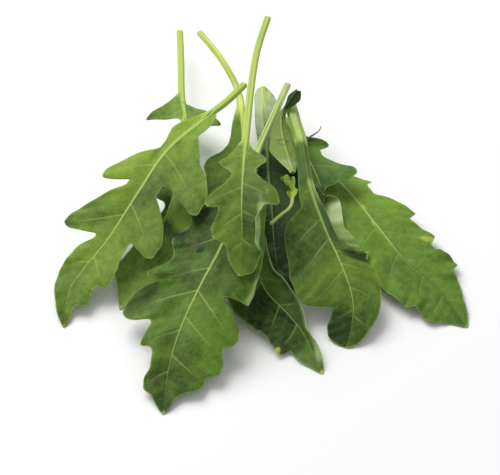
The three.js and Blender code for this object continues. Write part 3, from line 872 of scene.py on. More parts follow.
    @staticmethod
    def store(piece: bpy.types.Object, name: str, values: np.ndarray) -> None:
        """Keep values with the mesh, for the finish to read.

        Args:
            piece: The leaf's piece.
            name: Name to keep them under.
            values: A number or a vector for each vertex.
        """
        kind, part = ("FLOAT", "value") if values.ndim == 1 else ("FLOAT_VECTOR", "vector")
        attribute = piece.data.attributes.new(name, kind, "POINT")
        attribute.data.foreach_set(part, values.astype(np.float32).ravel())

    def paint(self, piece: bpy.types.Object, foot: np.ndarray, away: np.ndarray) -> None:
        """Lay the leaf's marks over each other and keep their colour and cover.

        Args:
            piece: The leaf's piece.
            foot: Feet of its vertices.
            away: Their distances from the rib, below 0 on the left.
        """
        colour = np.zeros((len(foot), 4))
        for mark in self.marks:
            cover = mark.cover(foot, away)[:, None]
            over = colour[:, 3:] * (1 - cover)
            total = np.maximum(cover + over, 1e-6)
            stain = np.array(srgb(*mark.stain.value)[:3])
            colour[:, :3] = (stain * cover + colour[:, :3] * over) / total
            colour[:, 3:] = cover + over
        layer = piece.data.attributes.new("marks", "FLOAT_COLOR", "POINT")
        layer.data.foreach_set("color", colour.astype(np.float32).ravel())

    def build(self) -> bpy.types.Object:
        """Model the leaf.

        Returns:
            Its piece, which stands for the leaf's solid.
        """
        piece = self.slab()
        piece.name = piece.data.name = f"{self.name}_leaf"
        self.shape(piece)
        bpy.ops.object.mode_set(mode="EDIT")
        bpy.ops.mesh.select_all(action="SELECT")
        bpy.ops.mesh.normals_make_consistent(inside=False)
        bpy.ops.object.mode_set(mode="OBJECT")
        bpy.ops.object.shade_smooth_by_angle(angle=math.radians(SHARP_EDGE))
        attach(piece, BODY)
        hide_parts(f"leaf_{self.name}")
        return piece

    def dress(self, piece: bpy.types.Object, groups: dict[str, bpy.types.NodeTree]) -> None:
        """Give the piece its finish."""
        piece.data.materials.append(self.finish.material(piece.name, groups))


OUTER_LEFT = Leaf(
    name="outer_left",
    slot="leaf_bright",
    finish=replace(Finish.BRIGHT.value, side_veins=0.3),
    rib=(
        (-2, 64.5, 17), (-8, 53, 19), (-14, 44, 20.4), (-26, 28, 20), (-34.5, 12, 16.5), (-43, -1, 10),
        (-50, -9.5, 5.8), (-53.7, -16, 3.8), (-54.5, -27.5, 1),
    ),
    right=(
        (20, 1.2), (23, 3.2), (27.5, 4.9), (31.5, 5), (34.5, 6.4), (36, 11), (38, 16.3), (41, 19.8),
        (44, 21.6), (48, 21.8), (50.5, 19.5), (51.5, 13), (52.3, 8), (53.5, 6.2), (57, 6), (58.3, 10),
        (60, 14.5), (63.5, 17.2), (67, 17.4), (69.5, 15.3), (71, 11.5), (72.5, 8), (75.5, 8.2), (80, 10),
        (86, 11), (88, 9), (90, 7.5), (95, 7.2), (100, 6.8), (103.5, 2.5), (107.5, 1.5), (110.9, 0.3),
    ),
    left=(
        (20, 1.2), (27.2, 3.2), (29.4, 4), (31.6, 4.5), (35, 3.9), (38.4, 3), (42.4, 2.4), (45, 8),
        (47.5, 11.8), (50.5, 13.6), (53.5, 13), (55.2, 9), (56, 4.6), (57.7, 4.7), (60, 8), (63, 11.8),
        (67.5, 15.5), (71, 16.2), (74, 14), (75.7, 8.5), (76.7, 4.5), (78.3, 4), (82, 6.5), (89, 6.3),
        (95, 5), (100.5, 3.5), (105.5, 2.4), (110.9, 0.3),
    ),
    radius=((0, 1.2), (22, 1.1), (50, 0.7), (110.9, 0.3)),
    fan=(20, 34),
    veins_right=(29, 45, 66, 86),
    veins_left=(33, 50, 70, 88),
    fold_right=((0, 10),),
    fold_left=((0, 10),),
    curl_right=((0, -4), (60, -6), (111, -12)),
    curl_left=((0, -8), (111, -14)),
    shade_right=((20, 0.2), (30, 0.3), (40, 0.55), (58, 0.85), (75, 0.55), (105, 0.8)),
    shade_left=((30, 0.05), (45, 0.1), (52, 0.22), (62, 0.45), (70, 0.73), (82, 0.5), (105, 0.9)),
    marks=(
        Mark(Stain.BROWN, 44, -2.4, 6, 0.9, 0.5),
        Mark(Stain.BROWN, 72, -16, 1.8, 1.6, 0.5),
        Mark(Stain.BROWN, 109, 0, 3, 1.6, 0.6),
    ),
    rows=300,
    columns=80,
)

UNDER_LEFT = Leaf(
    name="under_left",
    slot="leaf_bright",
    finish=replace(Finish.BRIGHT.value, light=(150, 182, 80), dark=(48, 74, 34), side_veins=0.15),
    rib=(
        (-25, 104.5, 9), (-24, 87.5, 9.5), (-23, 67, 10), (-21.5, 55, 10), (-22, 36, 9), (-24.5, 19, 7.5),
        (-29, 4, 5), (-34, -9, 3), (-38.5, -20.5, 1),
    ),
    right=(
        (41, 1.2), (42, 4), (42.8, 7.5), (44.4, 9.4), (47, 12), (49, 8), (51, 4), (58, 5), (66, 6),
        (74, 5), (80, 4), (84, 5), (86, 7.9), (87.5, 9), (89.7, 9.3), (92.2, 8.4), (94, 7), (95.5, 6.4),
        (97.7, 7.3), (100, 8), (103, 8.6), (107, 10.4), (111, 11.4), (115, 9.6), (119, 6), (123, 2.5),
        (128.4, 0.3),
    ),
    left=(
        (35.5, 1.2), (38, 3.3), (39.2, 6.2), (40.6, 11), (43, 12.8), (45, 8), (46.5, 3.5), (50, 1.3),
        (52.5, 2.5), (58, 4), (66.6, 5.6), (75.5, 6.6), (81, 5.9), (83.5, 5), (85, 3.6), (86, 2.3),
        (88.5, 1.4), (91, 1.9), (94, 3.3), (99, 4.6), (105, 5.8), (112, 6.8), (119, 4), (128.4, 0.3),
    ),
    radius=((0, 1.1), (36, 1.1), (60, 0.7), (128.4, 0.3)),
    fan=(34, 42),
    veins_right=(47, 62, 89, 102),
    veins_left=(43.5, 62, 80, 110),
    shade_right=(
        (40, 0.58), (60, 0.5), (78, 0.35), (84, 0.0), (91, 0.0), (95, 0.9), (102, 0.5), (112, 0.4),
        (120, 0.45),
    ),
    shade_left=(
        (40, 0.55), (70, 0.7), (80, 0.95), (90, 0.8), (100, 0.6), (108, 0.2), (114, 0.35), (122, 0.45),
    ),
    marks=(
        Mark(Stain.BROWN, 43, -12.4, 2.4, 2, 0.8),
        # painted shade on the right wing's tip, which curls down away from the light
        Mark(Stain.DARK, 47, 12.2, 1.6, 1.4),
    ),
    rows=260,
    columns=60,
)

TOP_CENTRE = Leaf(
    name="top_centre",
    slot="leaf_dark",
    finish=replace(Finish.DARK.value, underside=(152, 178, 108), side_veins=0.25),
    rib=(
        (6, 92, 24), (2.5, 76, 23), (0.5, 58, 22.8), (-1, 33, 25.5), (-2, 13, 28), (-2.5, -3.5, 26.5),
        (-2.3, -13, 22.3), (-3, -21.5, 16),
    ),
    right=(
        (67, 1.2), (71.5, 2.7), (73.3, 5.5), (74.7, 7), (78, 5), (81.5, 3.6), (83.3, 6), (84.3, 9.5),
        (86, 10.9), (88.5, 11.2), (91, 9.8), (93.5, 7.4), (96, 7.5), (98.5, 7.8), (101, 7.8),
        (104.5, 7.4), (108, 5.8), (113.5, 4.2), (117.6, 0.4),
    ),
    left=(
        (67, 1.2), (71, 2.7), (73.5, 4.8), (75.7, 7.3), (78.5, 5.6), (81, 3.9), (83, 3.4), (85.5, 4.8),
        (87, 7.5), (88.4, 10.8), (91, 10.2), (93.5, 6.8), (95.5, 7.3), (98, 9.1), (101.5, 8.6),
        (104.5, 6), (107, 4.5), (110, 3.9), (114, 2.3), (117.6, 0.4),
    ),
    radius=((0, 1.2), (60, 1.1), (80, 0.8), (117.6, 0.3)),
    fan=(64, 74),
    veins_right=(74, 88, 98, 107),
    veins_left=(75, 89.5, 99, 108),
    fold_right=((0, 14),),
    fold_left=((0, 12), (118, 14)),
    curl_right=((0, -14), (118, -18)),
    curl_left=((0, -14), (118, -18)),
    shade_right=((70, 0.27), (88, 0.5), (92, 0.66), (102, 0.79), (112, 0.4)),
    shade_left=((70, 0.23), (80, 0.16), (92, 0.38), (110, 0.15)),
    lip_right=((90, 0), (94, 60), (98, 130), (103, 130), (107.5, 0)),
    lip_width=((0, 3.4),),
    marks=(
        Mark(Stain.PALE, 91, 5.6, 2.6, 0.6, 0.15),
        Mark(Stain.PALE, 87, 7.5, 2, 0.5, 0.15),
    ),
    rows=260,
    columns=64,
)

OUTER_RIGHT = Leaf(
    name="outer_right",
    slot="leaf_bright",
    finish=replace(Finish.FRESH.value, underside=(140, 162, 94), side_veins=0.15),
    rib=(
        (11, 64, 1.5), (16.5, 53, 2), (23.5, 40, 3), (31, 27.5, 4), (39.5, 11, 4), (48, -4.5, 3),
        (57, -15, 2), (63.5, -27.5, 1),
    ),
    right=(
        (0, 1.2), (14, 1.6), (26, 2.5), (32, 4), (35.5, 6.5), (37.8, 8.3), (39.5, 6.5), (43.5, 6.2),
        (48, 10.7), (53, 13.3), (56, 10.7), (59, 11.7), (63.5, 13.8), (65.7, 12.8), (69.5, 10.5),
        (73, 11.3), (77, 12), (81, 11.2), (83.2, 8.7), (87, 7.3), (91, 5.8), (94.5, 4.4), (99, 3.2),
        (102.5, 1.9), (106, 0.4),
    ),
    left=(
        (0, 1.2), (14, 2), (24, 4), (32, 7), (36, 10.5), (39, 15), (42, 17.6), (47, 20.3), (52, 20.3),
        (55.8, 18.7), (59.6, 16.1), (61.6, 13.7), (62.8, 11.6), (64.5, 11.8), (67, 12.8), (72.5, 13.5),
        (78.5, 13.7), (84, 13.4), (86.5, 11.2), (89, 10.7), (92.5, 10.5), (95.3, 9), (97.5, 6.8),
        (102, 3), (106, 0.4),
    ),
    radius=((0, 1.2), (30, 0.8), (106, 0.3)),
    fan=(8, 20),
    veins_right=(38, 52, 63, 76, 86, 95),
    veins_left=(36, 47, 60, 73, 84, 93),
    fold_right=((0, 8), (106, 6)),
    fold_left=((0, 6),),
    curl_right=((0, -6),),
    lip_left=((36.5, 0), (40, 150), (45, 172), (60.5, 172), (63, 120), (66, 0)),
    lip_width=((0, 6.5), (52, 6.5), (55.8, 5.3), (59.6, 4), (62, 2.6), (66, 1.6)),
    shade_right=((30, 0.25), (45, 0.12), (60, 0.35), (72, 0.6), (84, 0.57), (100, 0.65)),
    shade_left=((36, 0.1), (55, 0.4), (65, 0.3), (74, 0.62), (86, 0.58), (93, 0.72), (104, 1.0)),
    marks=(
        # painted highlight on the top of the rolled-up left lip
        Mark(Stain.PALE, 42, -17, 3.5, 4, 0.9),
        Mark(Stain.YELLOW, 51, 0.4, 1.4, 0.9, 0.5),
        Mark(Stain.YELLOW, 58.6, -0.7, 1.6, 0.7, 0.4),
        Mark(Stain.YELLOW, 66, 10.6, 2, 2, 0.45),
        Mark(Stain.BROWN, 53, 13, 1.2, 1, 0.5),
        Mark(Stain.BROWN, 63.5, 13.6, 1.2, 1, 0.5),
        Mark(Stain.BROWN, 77, 11.8, 1.6, 0.8, 0.4),
        Mark(Stain.GREEN, 88, 0, 20, 0.7, 0.6),
    ),
    rows=300,
    columns=90,
)

FRONT_CENTRE = Leaf(
    name="front_centre",
    slot="leaf_dark",
    finish=replace(
        Finish.DARK.value, light=(108, 144, 50), dark=(42, 67, 22), stalk=(214, 226, 118)
    ),
    rib=(
        (-17.5, 93.5, 17), (-10, 82.5, 14), (-4.5, 72, 10), (-2.5, 54.5, 10.5), (-2, 31.5, 13),
        (-3.5, 11, 15), (-8.5, -8.5, 15), (-15, -23.5, 12), (-20, -35.5, 8), (-23, -47, 4),
        (-24, -59.5, 1),
    ),
    right=(
        (60, 1.2), (70, 3), (80, 8), (92, 10.5), (98, 12.8), (103, 15.3), (107, 16.2), (111, 16.8),
        (114.5, 16), (116, 13.2), (118, 9.2), (119.3, 7.8), (120.5, 13), (122, 16), (125.5, 17.2),
        (129, 15.8), (132.5, 13.8), (134.5, 14.3), (136.5, 15), (140.5, 14.6), (143, 13), (144.3, 11.2),
        (148, 10.6), (151, 9.2), (153.5, 6.4), (155.5, 4.4), (158.5, 2.7), (161.3, 1.5), (163.6, 0.3),
    ),
    left=(
        (0, 1.1), (32, 1.2), (45.5, 3.5), (54, 5), (57, 7), (58.5, 11.5), (63, 12.5), (69, 11.5),
        (75.5, 11.5), (81.6, 14.8), (84.7, 14.2), (89.8, 12.8), (93, 11.9), (95.4, 12.2), (96.4, 13.3),
        (97.3, 14.7), (98.8, 15.3), (100.5, 15.2), (103.6, 14.1), (107.2, 12.7), (110.4, 11.9),
        (111.4, 13.6), (112.2, 17.4), (113.7, 17), (115.3, 11), (116.5, 8.3), (117.7, 9), (118.7, 15),
        (120.5, 18.2), (124, 19.2), (127, 17.5), (129.5, 14), (131.3, 9.6), (133, 8.9), (135.5, 9.4),
        (138.7, 9.7), (140.5, 7), (143, 5.6), (147.5, 5.2), (150, 6.5), (152.5, 6.3), (156, 4),
        (160, 2.2), (163.6, 0.3),
    ),
    radius=((0, 1.1), (60, 1.1), (110, 0.7), (163.6, 0.3)),
    fan=(34, 60),
    veins_right=(80, 104, 125, 133.5, 146),
    veins_left=(62, 88, 104, 116.5, 124.5, 138, 151),
    fold_right=((0, 6), (100, 4), (164, 10)),
    fold_left=((0, 0), (100, 0), (164, 8)),
    curl_right=((0, -8), (164, -10)),
    curl_left=((0, -6), (164, -8)),
    shade_right=((98, 0.25), (108, 0.6), (113, 0.64), (122, 0.58), (132, 0.28), (142, 0.52), (155, 0.77)),
    shade_left=(
        (45, 0.1), (62, 0.5), (70, 0.65), (78, 0.65), (90, 0.85), (102, 0.95), (112, 0.65), (122, 0.75),
        (132, 0.39), (144, 0.5), (153, 0.92),
    ),
    lip_right=((97, 0), (102, 60), (112, 60), (117, 0)),
    lip_width=((0, 3),),
    marks=(
        # painted shadow in a hole, in the gaps under the lobes and in the slit between two lobes
        Mark(Stain.HOLE_SHADOW, 107.9, -5.4, 1.5, 1.3, 0.8),
        Mark(Stain.HOLE_SHADOW, 90.4, -8.7, 3, 2.2, 0.6),
        Mark(Stain.HOLE_SHADOW, 97.6, -13.8, 1.7, 3, 0.85),
        Mark(Stain.BROWN, 104.5, -9.5, 4, 3, 0.25),
        Mark(Stain.BROWN, 92.5, -9, 2, 1.6, 0.4),
        Mark(Stain.HOLE_SHADOW, 116.6, -11.5, 0.8, 5, 0.8),
        # painted shade on the lower blade, which bends down away from the light
        Mark(Stain.DARK, 139.4, -2.8, 3.5, 3, 0.4),
        Mark(Stain.DARK, 123, -15, 4.5, 4, 0.5),
        Mark(Stain.DARK, 149.5, -2.3, 4, 3, 0.4),
        Mark(Stain.DARK, 160, 0, 5, 3, 0.4),
    ),
    rows=360,
    columns=90,
)

LOW_FRONT = Leaf(
    name="low_front",
    slot="leaf_dark",
    finish=replace(
        Finish.DEEP_AND_SHADED.value,
        light=(104, 138, 60), rib=(148, 174, 100), stalk=(214, 236, 148),
        underside=(182, 202, 140),
    ),
    rib=(
        (12.5, 66, 16), (7.5, 53.5, 12), (2.5, 40.5, 8.5), (0.5, 26, 7.5), (0, 11, 6.5), (1.5, -5.5, 6),
        (4.5, -17, 5), (11.5, -26.5, 4), (15.5, -32, 2.5), (20.5, -45, 1),
    ),
    right=(
        (0, 1.2), (42, 1.2), (60, 4), (72, 5.7), (77, 6.5), (80, 7.8), (84.5, 8.4), (90.5, 7.3),
        (95.5, 6.2), (98.5, 5.2), (104, 3.4), (107.5, 3.3), (113, 2.4), (119.6, 0.4),
    ),
    left=(
        (0, 1.2), (42, 1.2), (62, 7), (76, 11), (83.5, 12), (89, 10.7), (93.5, 10.2), (100, 10.2),
        (103.3, 9.9), (104.6, 8.4), (105.7, 6.1), (110, 5), (115, 2.6), (119.6, 0.4),
    ),
    radius=((0, 1.2), (40, 1.1), (60, 0.7), (119.6, 0.3)),
    fan=(40, 54),
    veins_right=(60, 72, 82, 94),
    veins_left=(62, 73, 84, 94, 102),
    fold_right=((0, 12), (120, 8)),
    fold_left=((0, 0), (120, 4)),
    curl_left=((0, -4), (120, -6)),
    lip_right=((60, 0), (80, 112), (100, 112), (112, 60), (119, 0)),
    lip_width=((0, 2.5),),
    shade_right=((70, 0.0), (80, 0.0), (88, 0.4), (94, 0.65), (100, 0.82), (113, 0.6)),
    shade_left=((80, 0.3), (88, 0.85), (100, 0.81), (105, 0.75), (110, 0.46), (116, 0.4)),
    groove=0.08,
    marks=(
        Mark(Stain.YELLOW, 102.6, -9.8, 1.4, 1.4, 0.7),
        Mark(Stain.PINK, 1, 0, 3, 3, 0.6),
    ),
    rows=260,
    columns=60,
)

BROAD_RIGHT = Leaf(
    name="broad_right",
    slot="leaf_dark",
    finish=replace(Finish.DARK.value, stalk=(176, 200, 110), side_veins=0.25),
    rib=(
        (13.5, 57, 15), (14.5, 48, 15), (16, 39.5, 15), (18.2, 17, 16), (22.8, -1.5, 14), (27, -12.5, 11),
        (30, -22.5, 6.8), (29.5, -30.5, 3.5), (28, -35.5, 1),
    ),
    right=(
        (0, 1.7), (10, 2.1), (20, 2.1), (40, 1.5), (46, 1.8), (52, 2.4), (60, 2.6), (63, 2.8),
        (64.5, 3.4), (65.6, 4.6), (66.3, 6.6), (67.1, 8.2), (68.4, 9), (71, 9.4), (75, 9.2), (79, 8.3),
        (83, 7.3), (89, 5.1), (93.5, 3), (97.4, 0.5),
    ),
    left=(
        (0, 1.7), (10, 2.1), (20, 2.2), (32, 2.6), (37, 3.2), (43.4, 4.4), (46.4, 4.8), (47.6, 9),
        (49, 12), (52, 13.2), (57, 15), (61.5, 16.3), (66, 16.2), (71, 15.4), (75, 14), (77.5, 11),
        (80, 8), (82.3, 6.1), (84.5, 6.3), (87.5, 7.1), (91, 6.5), (94, 4.4), (97.4, 0.5),
    ),
    radius=((0, 1.5), (20, 1.3), (45, 0.8), (97.4, 0.3)),
    fan=(18, 32),
    veins_right=(66.5, 71, 79, 88),
    veins_left=(42, 54.5, 62, 73, 86),
    fold_right=((0, 20), (60, 10), (98, 4)),
    fold_left=((0, 20), (50, 8), (98, 4)),
    curl_right=((0, -10), (98, -20)),
    curl_left=((0, -10), (60, -8), (80, -9), (98, -20)),
    shade_right=((60, 1.2), (66, 0.6), (73, 0.2), (84, 0.55), (92, 0.75)),
    shade_left=(
        (20, 0.9), (37, 0.95), (43, 0.3), (50, 0.77), (60, 0.71), (72, 0.1), (80, 0.46), (86, 0.7),
        (92, 1.15),
    ),
    marks=(
        # the next four marks are painted shade: under the tip lobe that folds down, on the band where the
        # blade curves down, and in the hollow under the next leaf's rolled lip
        Mark(Stain.DARK, 89, -3.4, 5, 4, 0.6),
        Mark(Stain.DARK, 83, -5.3, 3, 2.5, 0.4),
        Mark(Stain.DARK, 72.8, -7.3, 3, 5, 0.3),
        Mark(Stain.DARK, 67, 5.6, 2, 4.5, 0.9),
        Mark(Stain.DARK, 10, -1.9, 10, 0.9, 0.5),
        Mark(Stain.BROWN, 12, 2, 10, 0.5, 0.4),
        # the next two marks paint the stalk dark green, as shade from the small right leaf's blade
        Mark(Stain.GREEN, 25, 0, 6.5, 5, 0.95),
        Mark(Stain.GREEN, 33, 0, 6.5, 5, 0.9),
        Mark(Stain.GREEN, 51, 0, 15, 2.4, 0.4),
    ),
    rows=280,
    columns=80,
)

SMALL_RIGHT = Leaf(
    name="small_right",
    slot="leaf_dark",
    finish=replace(Finish.DARK.value, light=(98, 134, 50), dark=(42, 68, 22), side_veins=0.25),
    rib=(
        (10, 63, 6.5), (13.5, 54.5, 7), (16.5, 45, 7.5), (19.5, 35, 8.5), (21.5, 26, 10), (23, 18, 10.3),
    ),
    right=(
        (0, 1), (13, 1.6), (14.6, 4.5), (15.6, 7.6), (17, 8.6), (18.8, 8), (21.3, 5), (24, 4.7), (27, 7),
        (30, 11.5), (32, 12.5), (34.5, 11), (37, 8), (40, 4.5), (43, 1.5), (47, 0.4),
    ),
    left=((0, 1), (10, 2), (16, 4), (24, 5), (34, 5), (39, 3), (43, 1), (47, 0.4)),
    radius=((0, 1), (20, 0.7), (47, 0.3)),
    fan=(6, 14),
    veins_right=(17, 31),
    veins_left=(20, 33),
    heave=0.5,
    marks=(
        Mark(Stain.DARK, 46, 0, 4, 1.6, 0.8),
    ),
    shade_right=((12, 0.85), (18, 0.8), (22, 0.1), (30, 0.3), (38, 0.7)),
    rows=160,
    columns=50,
)

LOW_CENTRE = Leaf(
    name="low_centre",
    slot="leaf_dark",
    finish=replace(
        Finish.DEEP_AND_SHADED.value,
        light=(176, 190, 146), dark=(42, 66, 22), rib=(112, 136, 80), side_veins=0.15,
    ),
    rib=(
        (4.5, 83.5, 0.8), (5, 70.5, 0.8), (5.5, 51.5, 2), (6, 33.5, 3), (7, 17, 3), (7.5, 3.5, 3),
        (9.8, -17.5, 2.3),
    ),
    right=(
        (0, 1.5), (3, 3), (6, 4), (10, 4.8), (16, 4), (24, 2.8), (28, 4), (34.3, 6.1), (38.2, 8.4),
        (42.2, 10.6), (47, 12), (52, 12), (58, 11.4), (63, 10.6), (67, 8.5), (71.4, 5.8), (78, 4.8),
        (84, 4.9), (92, 4.9), (97, 3.6), (101.2, 0.5),
    ),
    left=(
        (0, 2), (5, 3.2), (20, 3.4), (32, 2.8), (37, 3.4), (41.4, 5), (46.3, 5.8), (52, 5), (58, 4.3),
        (70, 4.6), (82, 4.4), (90, 3.4), (97, 2), (101.2, 0.5),
    ),
    radius=((0, 1.2), (34, 0.9), (101.2, 0.3)),
    fan=(26, 40),
    veins_right=(46, 60, 74),
    veins_left=(46, 60, 74),
    fold_right=((0, 4), (20, 4), (34, 10), (91, 6)),
    fold_left=((0, 4), (20, 4), (34, 12), (91, 6)),
    ripple=(0.1, 9.0),
    shade_right=((0, 0.2), (10, 0.3), (24, 0.6), (34, 1.0), (48, 1.2), (70, 1.15), (88, 0.85)),
    shade_left=((0, 0.0), (20, 0.1), (36, 1.0)),
    heave=0.3,
    marks=(
        Mark(Stain.PALE, 7, -2, 8, 1.8, 0.5),
        Mark(Stain.YELLOW, 4, 1.6, 3, 1.4, 0.4),
    ),
    rows=180,
    columns=40,
)

TURNED_OVER = Leaf(
    name="turned_over",
    slot="leaf_pale",
    finish=replace(
        Finish.PALE.value,
        light=(130, 152, 74), rib=(140, 162, 84), underside=(128, 148, 78), side_veins=0.2,
    ),
    rib=(
        (13.5, 27.5, 11.5), (11.5, 37.5, 12), (10.2, 46.5, 12.8), (10.4, 51.5, 15), (13, 53.5, 19),
        (15.5, 56.5, 21),
    ),
    right=(
        (0, 0.9), (2, 1.8), (4.4, 4), (8.3, 4.8), (13.1, 4.5), (18.7, 2.9), (22, 1.6), (26, 1.2),
        (28, 1.7), (30.5, 2.5), (33, 1.7), (35.4, 0.4),
    ),
    left=(
        (0, 0.9), (2, 1.4), (4.1, 2.7), (6.5, 4.2), (8.7, 5.1), (14.3, 4), (18.5, 3.2), (23.1, 2),
        (26, 1.3), (28, 1.7), (30.5, 2.2), (33, 1.5), (35.4, 0.4),
    ),
    radius=((0, 0.6), (20, 0.5), (35.4, 0.3)),
    fan=(0, 6),
    veins_right=(5, 14),
    veins_left=(6, 15),
    roll=((0, 180),),
    fold_right=((0, 14), (35, 20)),
    fold_left=((0, 14), (35, 20)),
    heave=0.3,
    ripple=(0.2, 9.0),
    marks=(
        Mark(Stain.DARK, 13.6, -0.5, 1.8, 1.7, 0.5, hollow=True),
        # painted shadow in the slit
        Mark(Stain.DARK, 10.9, 3.6, 2.2, 0.6),
        Mark(Stain.DARK, 31, 0, 5, 4, 0.95),
        Mark(Stain.PALE, 3.6, -1.5, 2.6, 4, 0.4),
    ),
    rows=140,
    columns=40,
)

YOUNG = Leaf(
    name="young",
    slot="leaf_pale",
    finish=replace(Finish.PALE.value, light=(136, 164, 48), dark=(66, 92, 28)),
    rib=(
        (6.2, -1.7, 17.5), (9.5, 2.4, 17.5), (11.7, 4.3, 18), (12.6, 6.2, 18.5), (12.7, 9.6, 19),
        (11.9, 12.7, 19.5), (9.6, 15.6, 20),
    ),
    right=(
        (0, 0.5), (11.8, 0.5), (13.2, 1.8), (14.4, 1.3), (16.2, 2.8), (17.4, 1.9), (18.6, 2.2),
        (20.5, 0.4),
    ),
    left=((0, 0.5), (12.2, 0.5), (13.6, 2), (14.8, 1.4), (16.6, 3), (17.8, 2), (19, 2.1), (20.5, 0.4)),
    radius=((0, 0.5), (20.5, 0.3)),
    fan=(11, 15),
    veins_right=(20,),
    veins_left=(20,),
    fold_right=((0, 8), (11, 8), (15, 35), (20, 45)),
    fold_left=((0, 8), (11, 8), (15, 40), (20, 50)),
    roll=((0, 0), (11, 0), (20, 25)),
    heave=0.2,
    ripple=(0.1, 9.0),
    marks=(
        # painted shadow in the holes of the crumpled head
        Mark(Stain.HOLE_SHADOW, 14.8, 1.3, 1, 0.9),
        Mark(Stain.HOLE_SHADOW, 17.6, -2, 0.9, 0.8),
        Mark(Stain.HOLE_SHADOW, 18.8, 1.6, 0.8, 0.7),
        Mark(Stain.YELLOW, 13.4, -0.4, 1.2, 1.4, 0.5),
    ),
    rows=120,
    columns=30,
)

LEAVES = (
    OUTER_LEFT, UNDER_LEFT, TOP_CENTRE, OUTER_RIGHT, FRONT_CENTRE, LOW_FRONT, BROAD_RIGHT, SMALL_RIGHT,
    LOW_CENTRE, TURNED_OVER, YOUNG,
)


@dataclass
class Thread:
    """A dried thread that stands up from a leaf's margin, thinner towards its end."""

    name: str = "withered_thread"
    slot: str = "leaf_dark"
    path: tuple[Point, ...] = (
        (15.6, 24.2, 7.9), (16.5, 25, 8.8), (17.6, 25, 9.6), (18.9, 25.9, 9.9),
        (19.8, 26.6, 10.2), (20.3, 27.9, 11),
    )
    radius: float = 0.34
    taper: float = 0.6
    colours: tuple[tuple[int, int, int], ...] = ((118, 126, 92), (96, 92, 92))
    blotches: float = 0.8  # to the millimetre
    blotch_edge: tuple[float, float] = (0.35, 0.65)
    roughness: float = 0.8
    gloss: float = 0.1

    def build(self) -> bpy.types.Object:
        """Model the thread as a round tube along its path.

        Returns:
            Its piece.
        """
        bpy.ops.object.select_all(action="DESELECT")
        bpy.ops.curve.primitive_nurbs_path_add(location=(0, 0, 0))
        piece = bpy.context.object
        piece.name = self.name
        curve = piece.data
        spline = curve.splines[0]
        spline.points.add(len(self.path) - len(spline.points))
        for i, (point, place) in enumerate(zip(spline.points, self.path)):
            point.co = (*(Vector(place) * MM), 1.0)
            point.radius = 1 - self.taper * i / (len(self.path) - 1)
        spline.order_u = 3
        curve.bevel_depth = self.radius * MM
        curve.bevel_resolution = 3
        curve.use_fill_caps = True
        bpy.ops.object.convert(target="MESH")
        bpy.ops.object.shade_smooth_by_angle()
        piece.data.materials.append(self.material())
        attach(piece, BODY)
        return piece

    def material(self) -> bpy.types.Material:
        """Make the thread's dull, blotched material.

        Returns:
            The new material.
        """
        material, graph, inputs = new_material(self.name, self.roughness, self.gloss)
        place = graph.add("TexCoord", {}).outputs["Object"]
        blotch = graph.step(graph.noise(place, self.blotches / MM), *self.blotch_edge)
        colour = graph.mix(blotch, srgb(*self.colours[0]), srgb(*self.colours[1]))
        material.node_tree.links.new(colour, inputs["Base Color"])
        return material


@dataclass
class Table:
    """The white table top that the bunch lies on."""

    side: float = 6.0  # metres
    brightness: float = 0.9
    roughness: float = 0.8
    gloss: float = 0.2

    def build(self) -> bpy.types.Object:
        """Model the table top.

        Returns:
            The table top, which is no piece of the bunch.
        """
        bpy.ops.object.select_all(action="DESELECT")
        bpy.ops.mesh.primitive_plane_add(size=self.side)
        top = bpy.context.object
        top.name = "table_top"
        material, _, inputs = new_material("white_table", self.roughness, self.gloss)
        inputs["Base Color"].default_value = (self.brightness,) * 3 + (1.0,)
        top.data.materials.append(material)
        return top


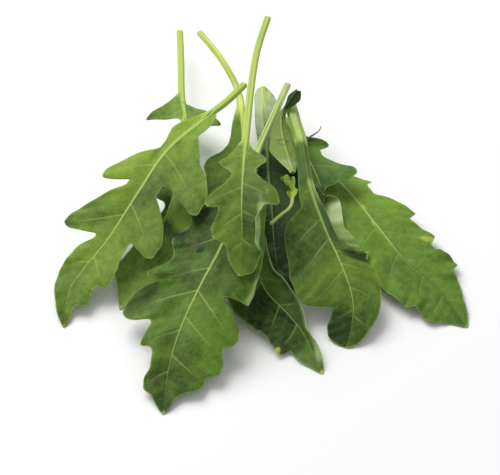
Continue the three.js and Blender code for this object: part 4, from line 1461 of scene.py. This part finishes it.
@dataclass
class Softbox:
    """A square studio light that faces the bunch, with its sizes in metres and watts."""

    name: str
    place: Point
    side: float
    power: float

    def build(self) -> bpy.types.Object:
        """Hang the light.

        Returns:
            The light's object.
        """
        light = bpy.data.lights.new(self.name, "AREA")
        light.shape = "SQUARE"
        light.size = self.side
        light.energy = self.power
        lamp = bpy.data.objects.new(self.name, light)
        lamp.location = self.place
        lamp.rotation_euler = (-Vector(self.place)).to_track_quat("-Z", "Y").to_euler()
        bpy.context.scene.collection.objects.link(lamp)
        return lamp


@dataclass
class Studio:
    """Soft light from all round, and the way the picture shows it."""

    sky: float = 0.5
    lamps: tuple[Softbox, ...] = (Softbox("back_light", (-0.42, 0.5, 0.8), 0.8, 11.0),)

    def build(self) -> None:
        """Light the scene."""
        world = bpy.data.worlds.new("white_room")
        world.use_nodes = True
        backdrop = world.node_tree.nodes["Background"]
        backdrop.inputs["Color"].default_value = (1.0, 1.0, 1.0, 1.0)
        backdrop.inputs["Strength"].default_value = self.sky
        bpy.context.scene.world = world
        bpy.context.scene.view_settings.view_transform = "Standard"
        for lamp in self.lamps:
            lamp.build()


@dataclass
class Camera:
    """The camera, which looks down on the bunch from in front of the leaves."""

    aim: Point = (-3.0, -22.4, 9.7)
    distance: float = 420.0
    elevation: float = 45.0
    lens: float = 100.0
    sensor: float = 36.0

    def build(self) -> bpy.types.Object:
        """Place the camera.

        Returns:
            The camera's object.
        """
        data = bpy.data.cameras.new("camera")
        data.lens = self.lens
        data.sensor_width = self.sensor
        camera = bpy.data.objects.new("camera", data)
        tilt = math.radians(self.elevation)
        back = Vector((0, -math.cos(tilt), math.sin(tilt)))
        camera.location = (Vector(self.aim) + back * self.distance) * MM
        camera.rotation_euler = (math.radians(90 - self.elevation), 0, 0)
        bpy.context.scene.collection.objects.link(camera)
        bpy.context.scene.camera = camera
        return camera


def main() -> None:
    """Build the scene piece by piece."""
    logging.basicConfig(level=logging.INFO, format="%(message)s")
    log = logging.getLogger("arugula_bunch")
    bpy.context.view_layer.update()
    groups = {"veins": vein_group(), "skin": skin_group()}
    for leaf in LEAVES:
        piece = leaf.build()
        leaf.dress(piece, groups)
        log.info("%s: %d faces", piece.name, len(piece.data.polygons))
    log.info("%s laid", Thread().build().name)
    log.info("%s laid", Table().build().name)
    Studio().build()
    log.info("%s placed", Camera().build().name)


if __name__ == "__main__":
    main()
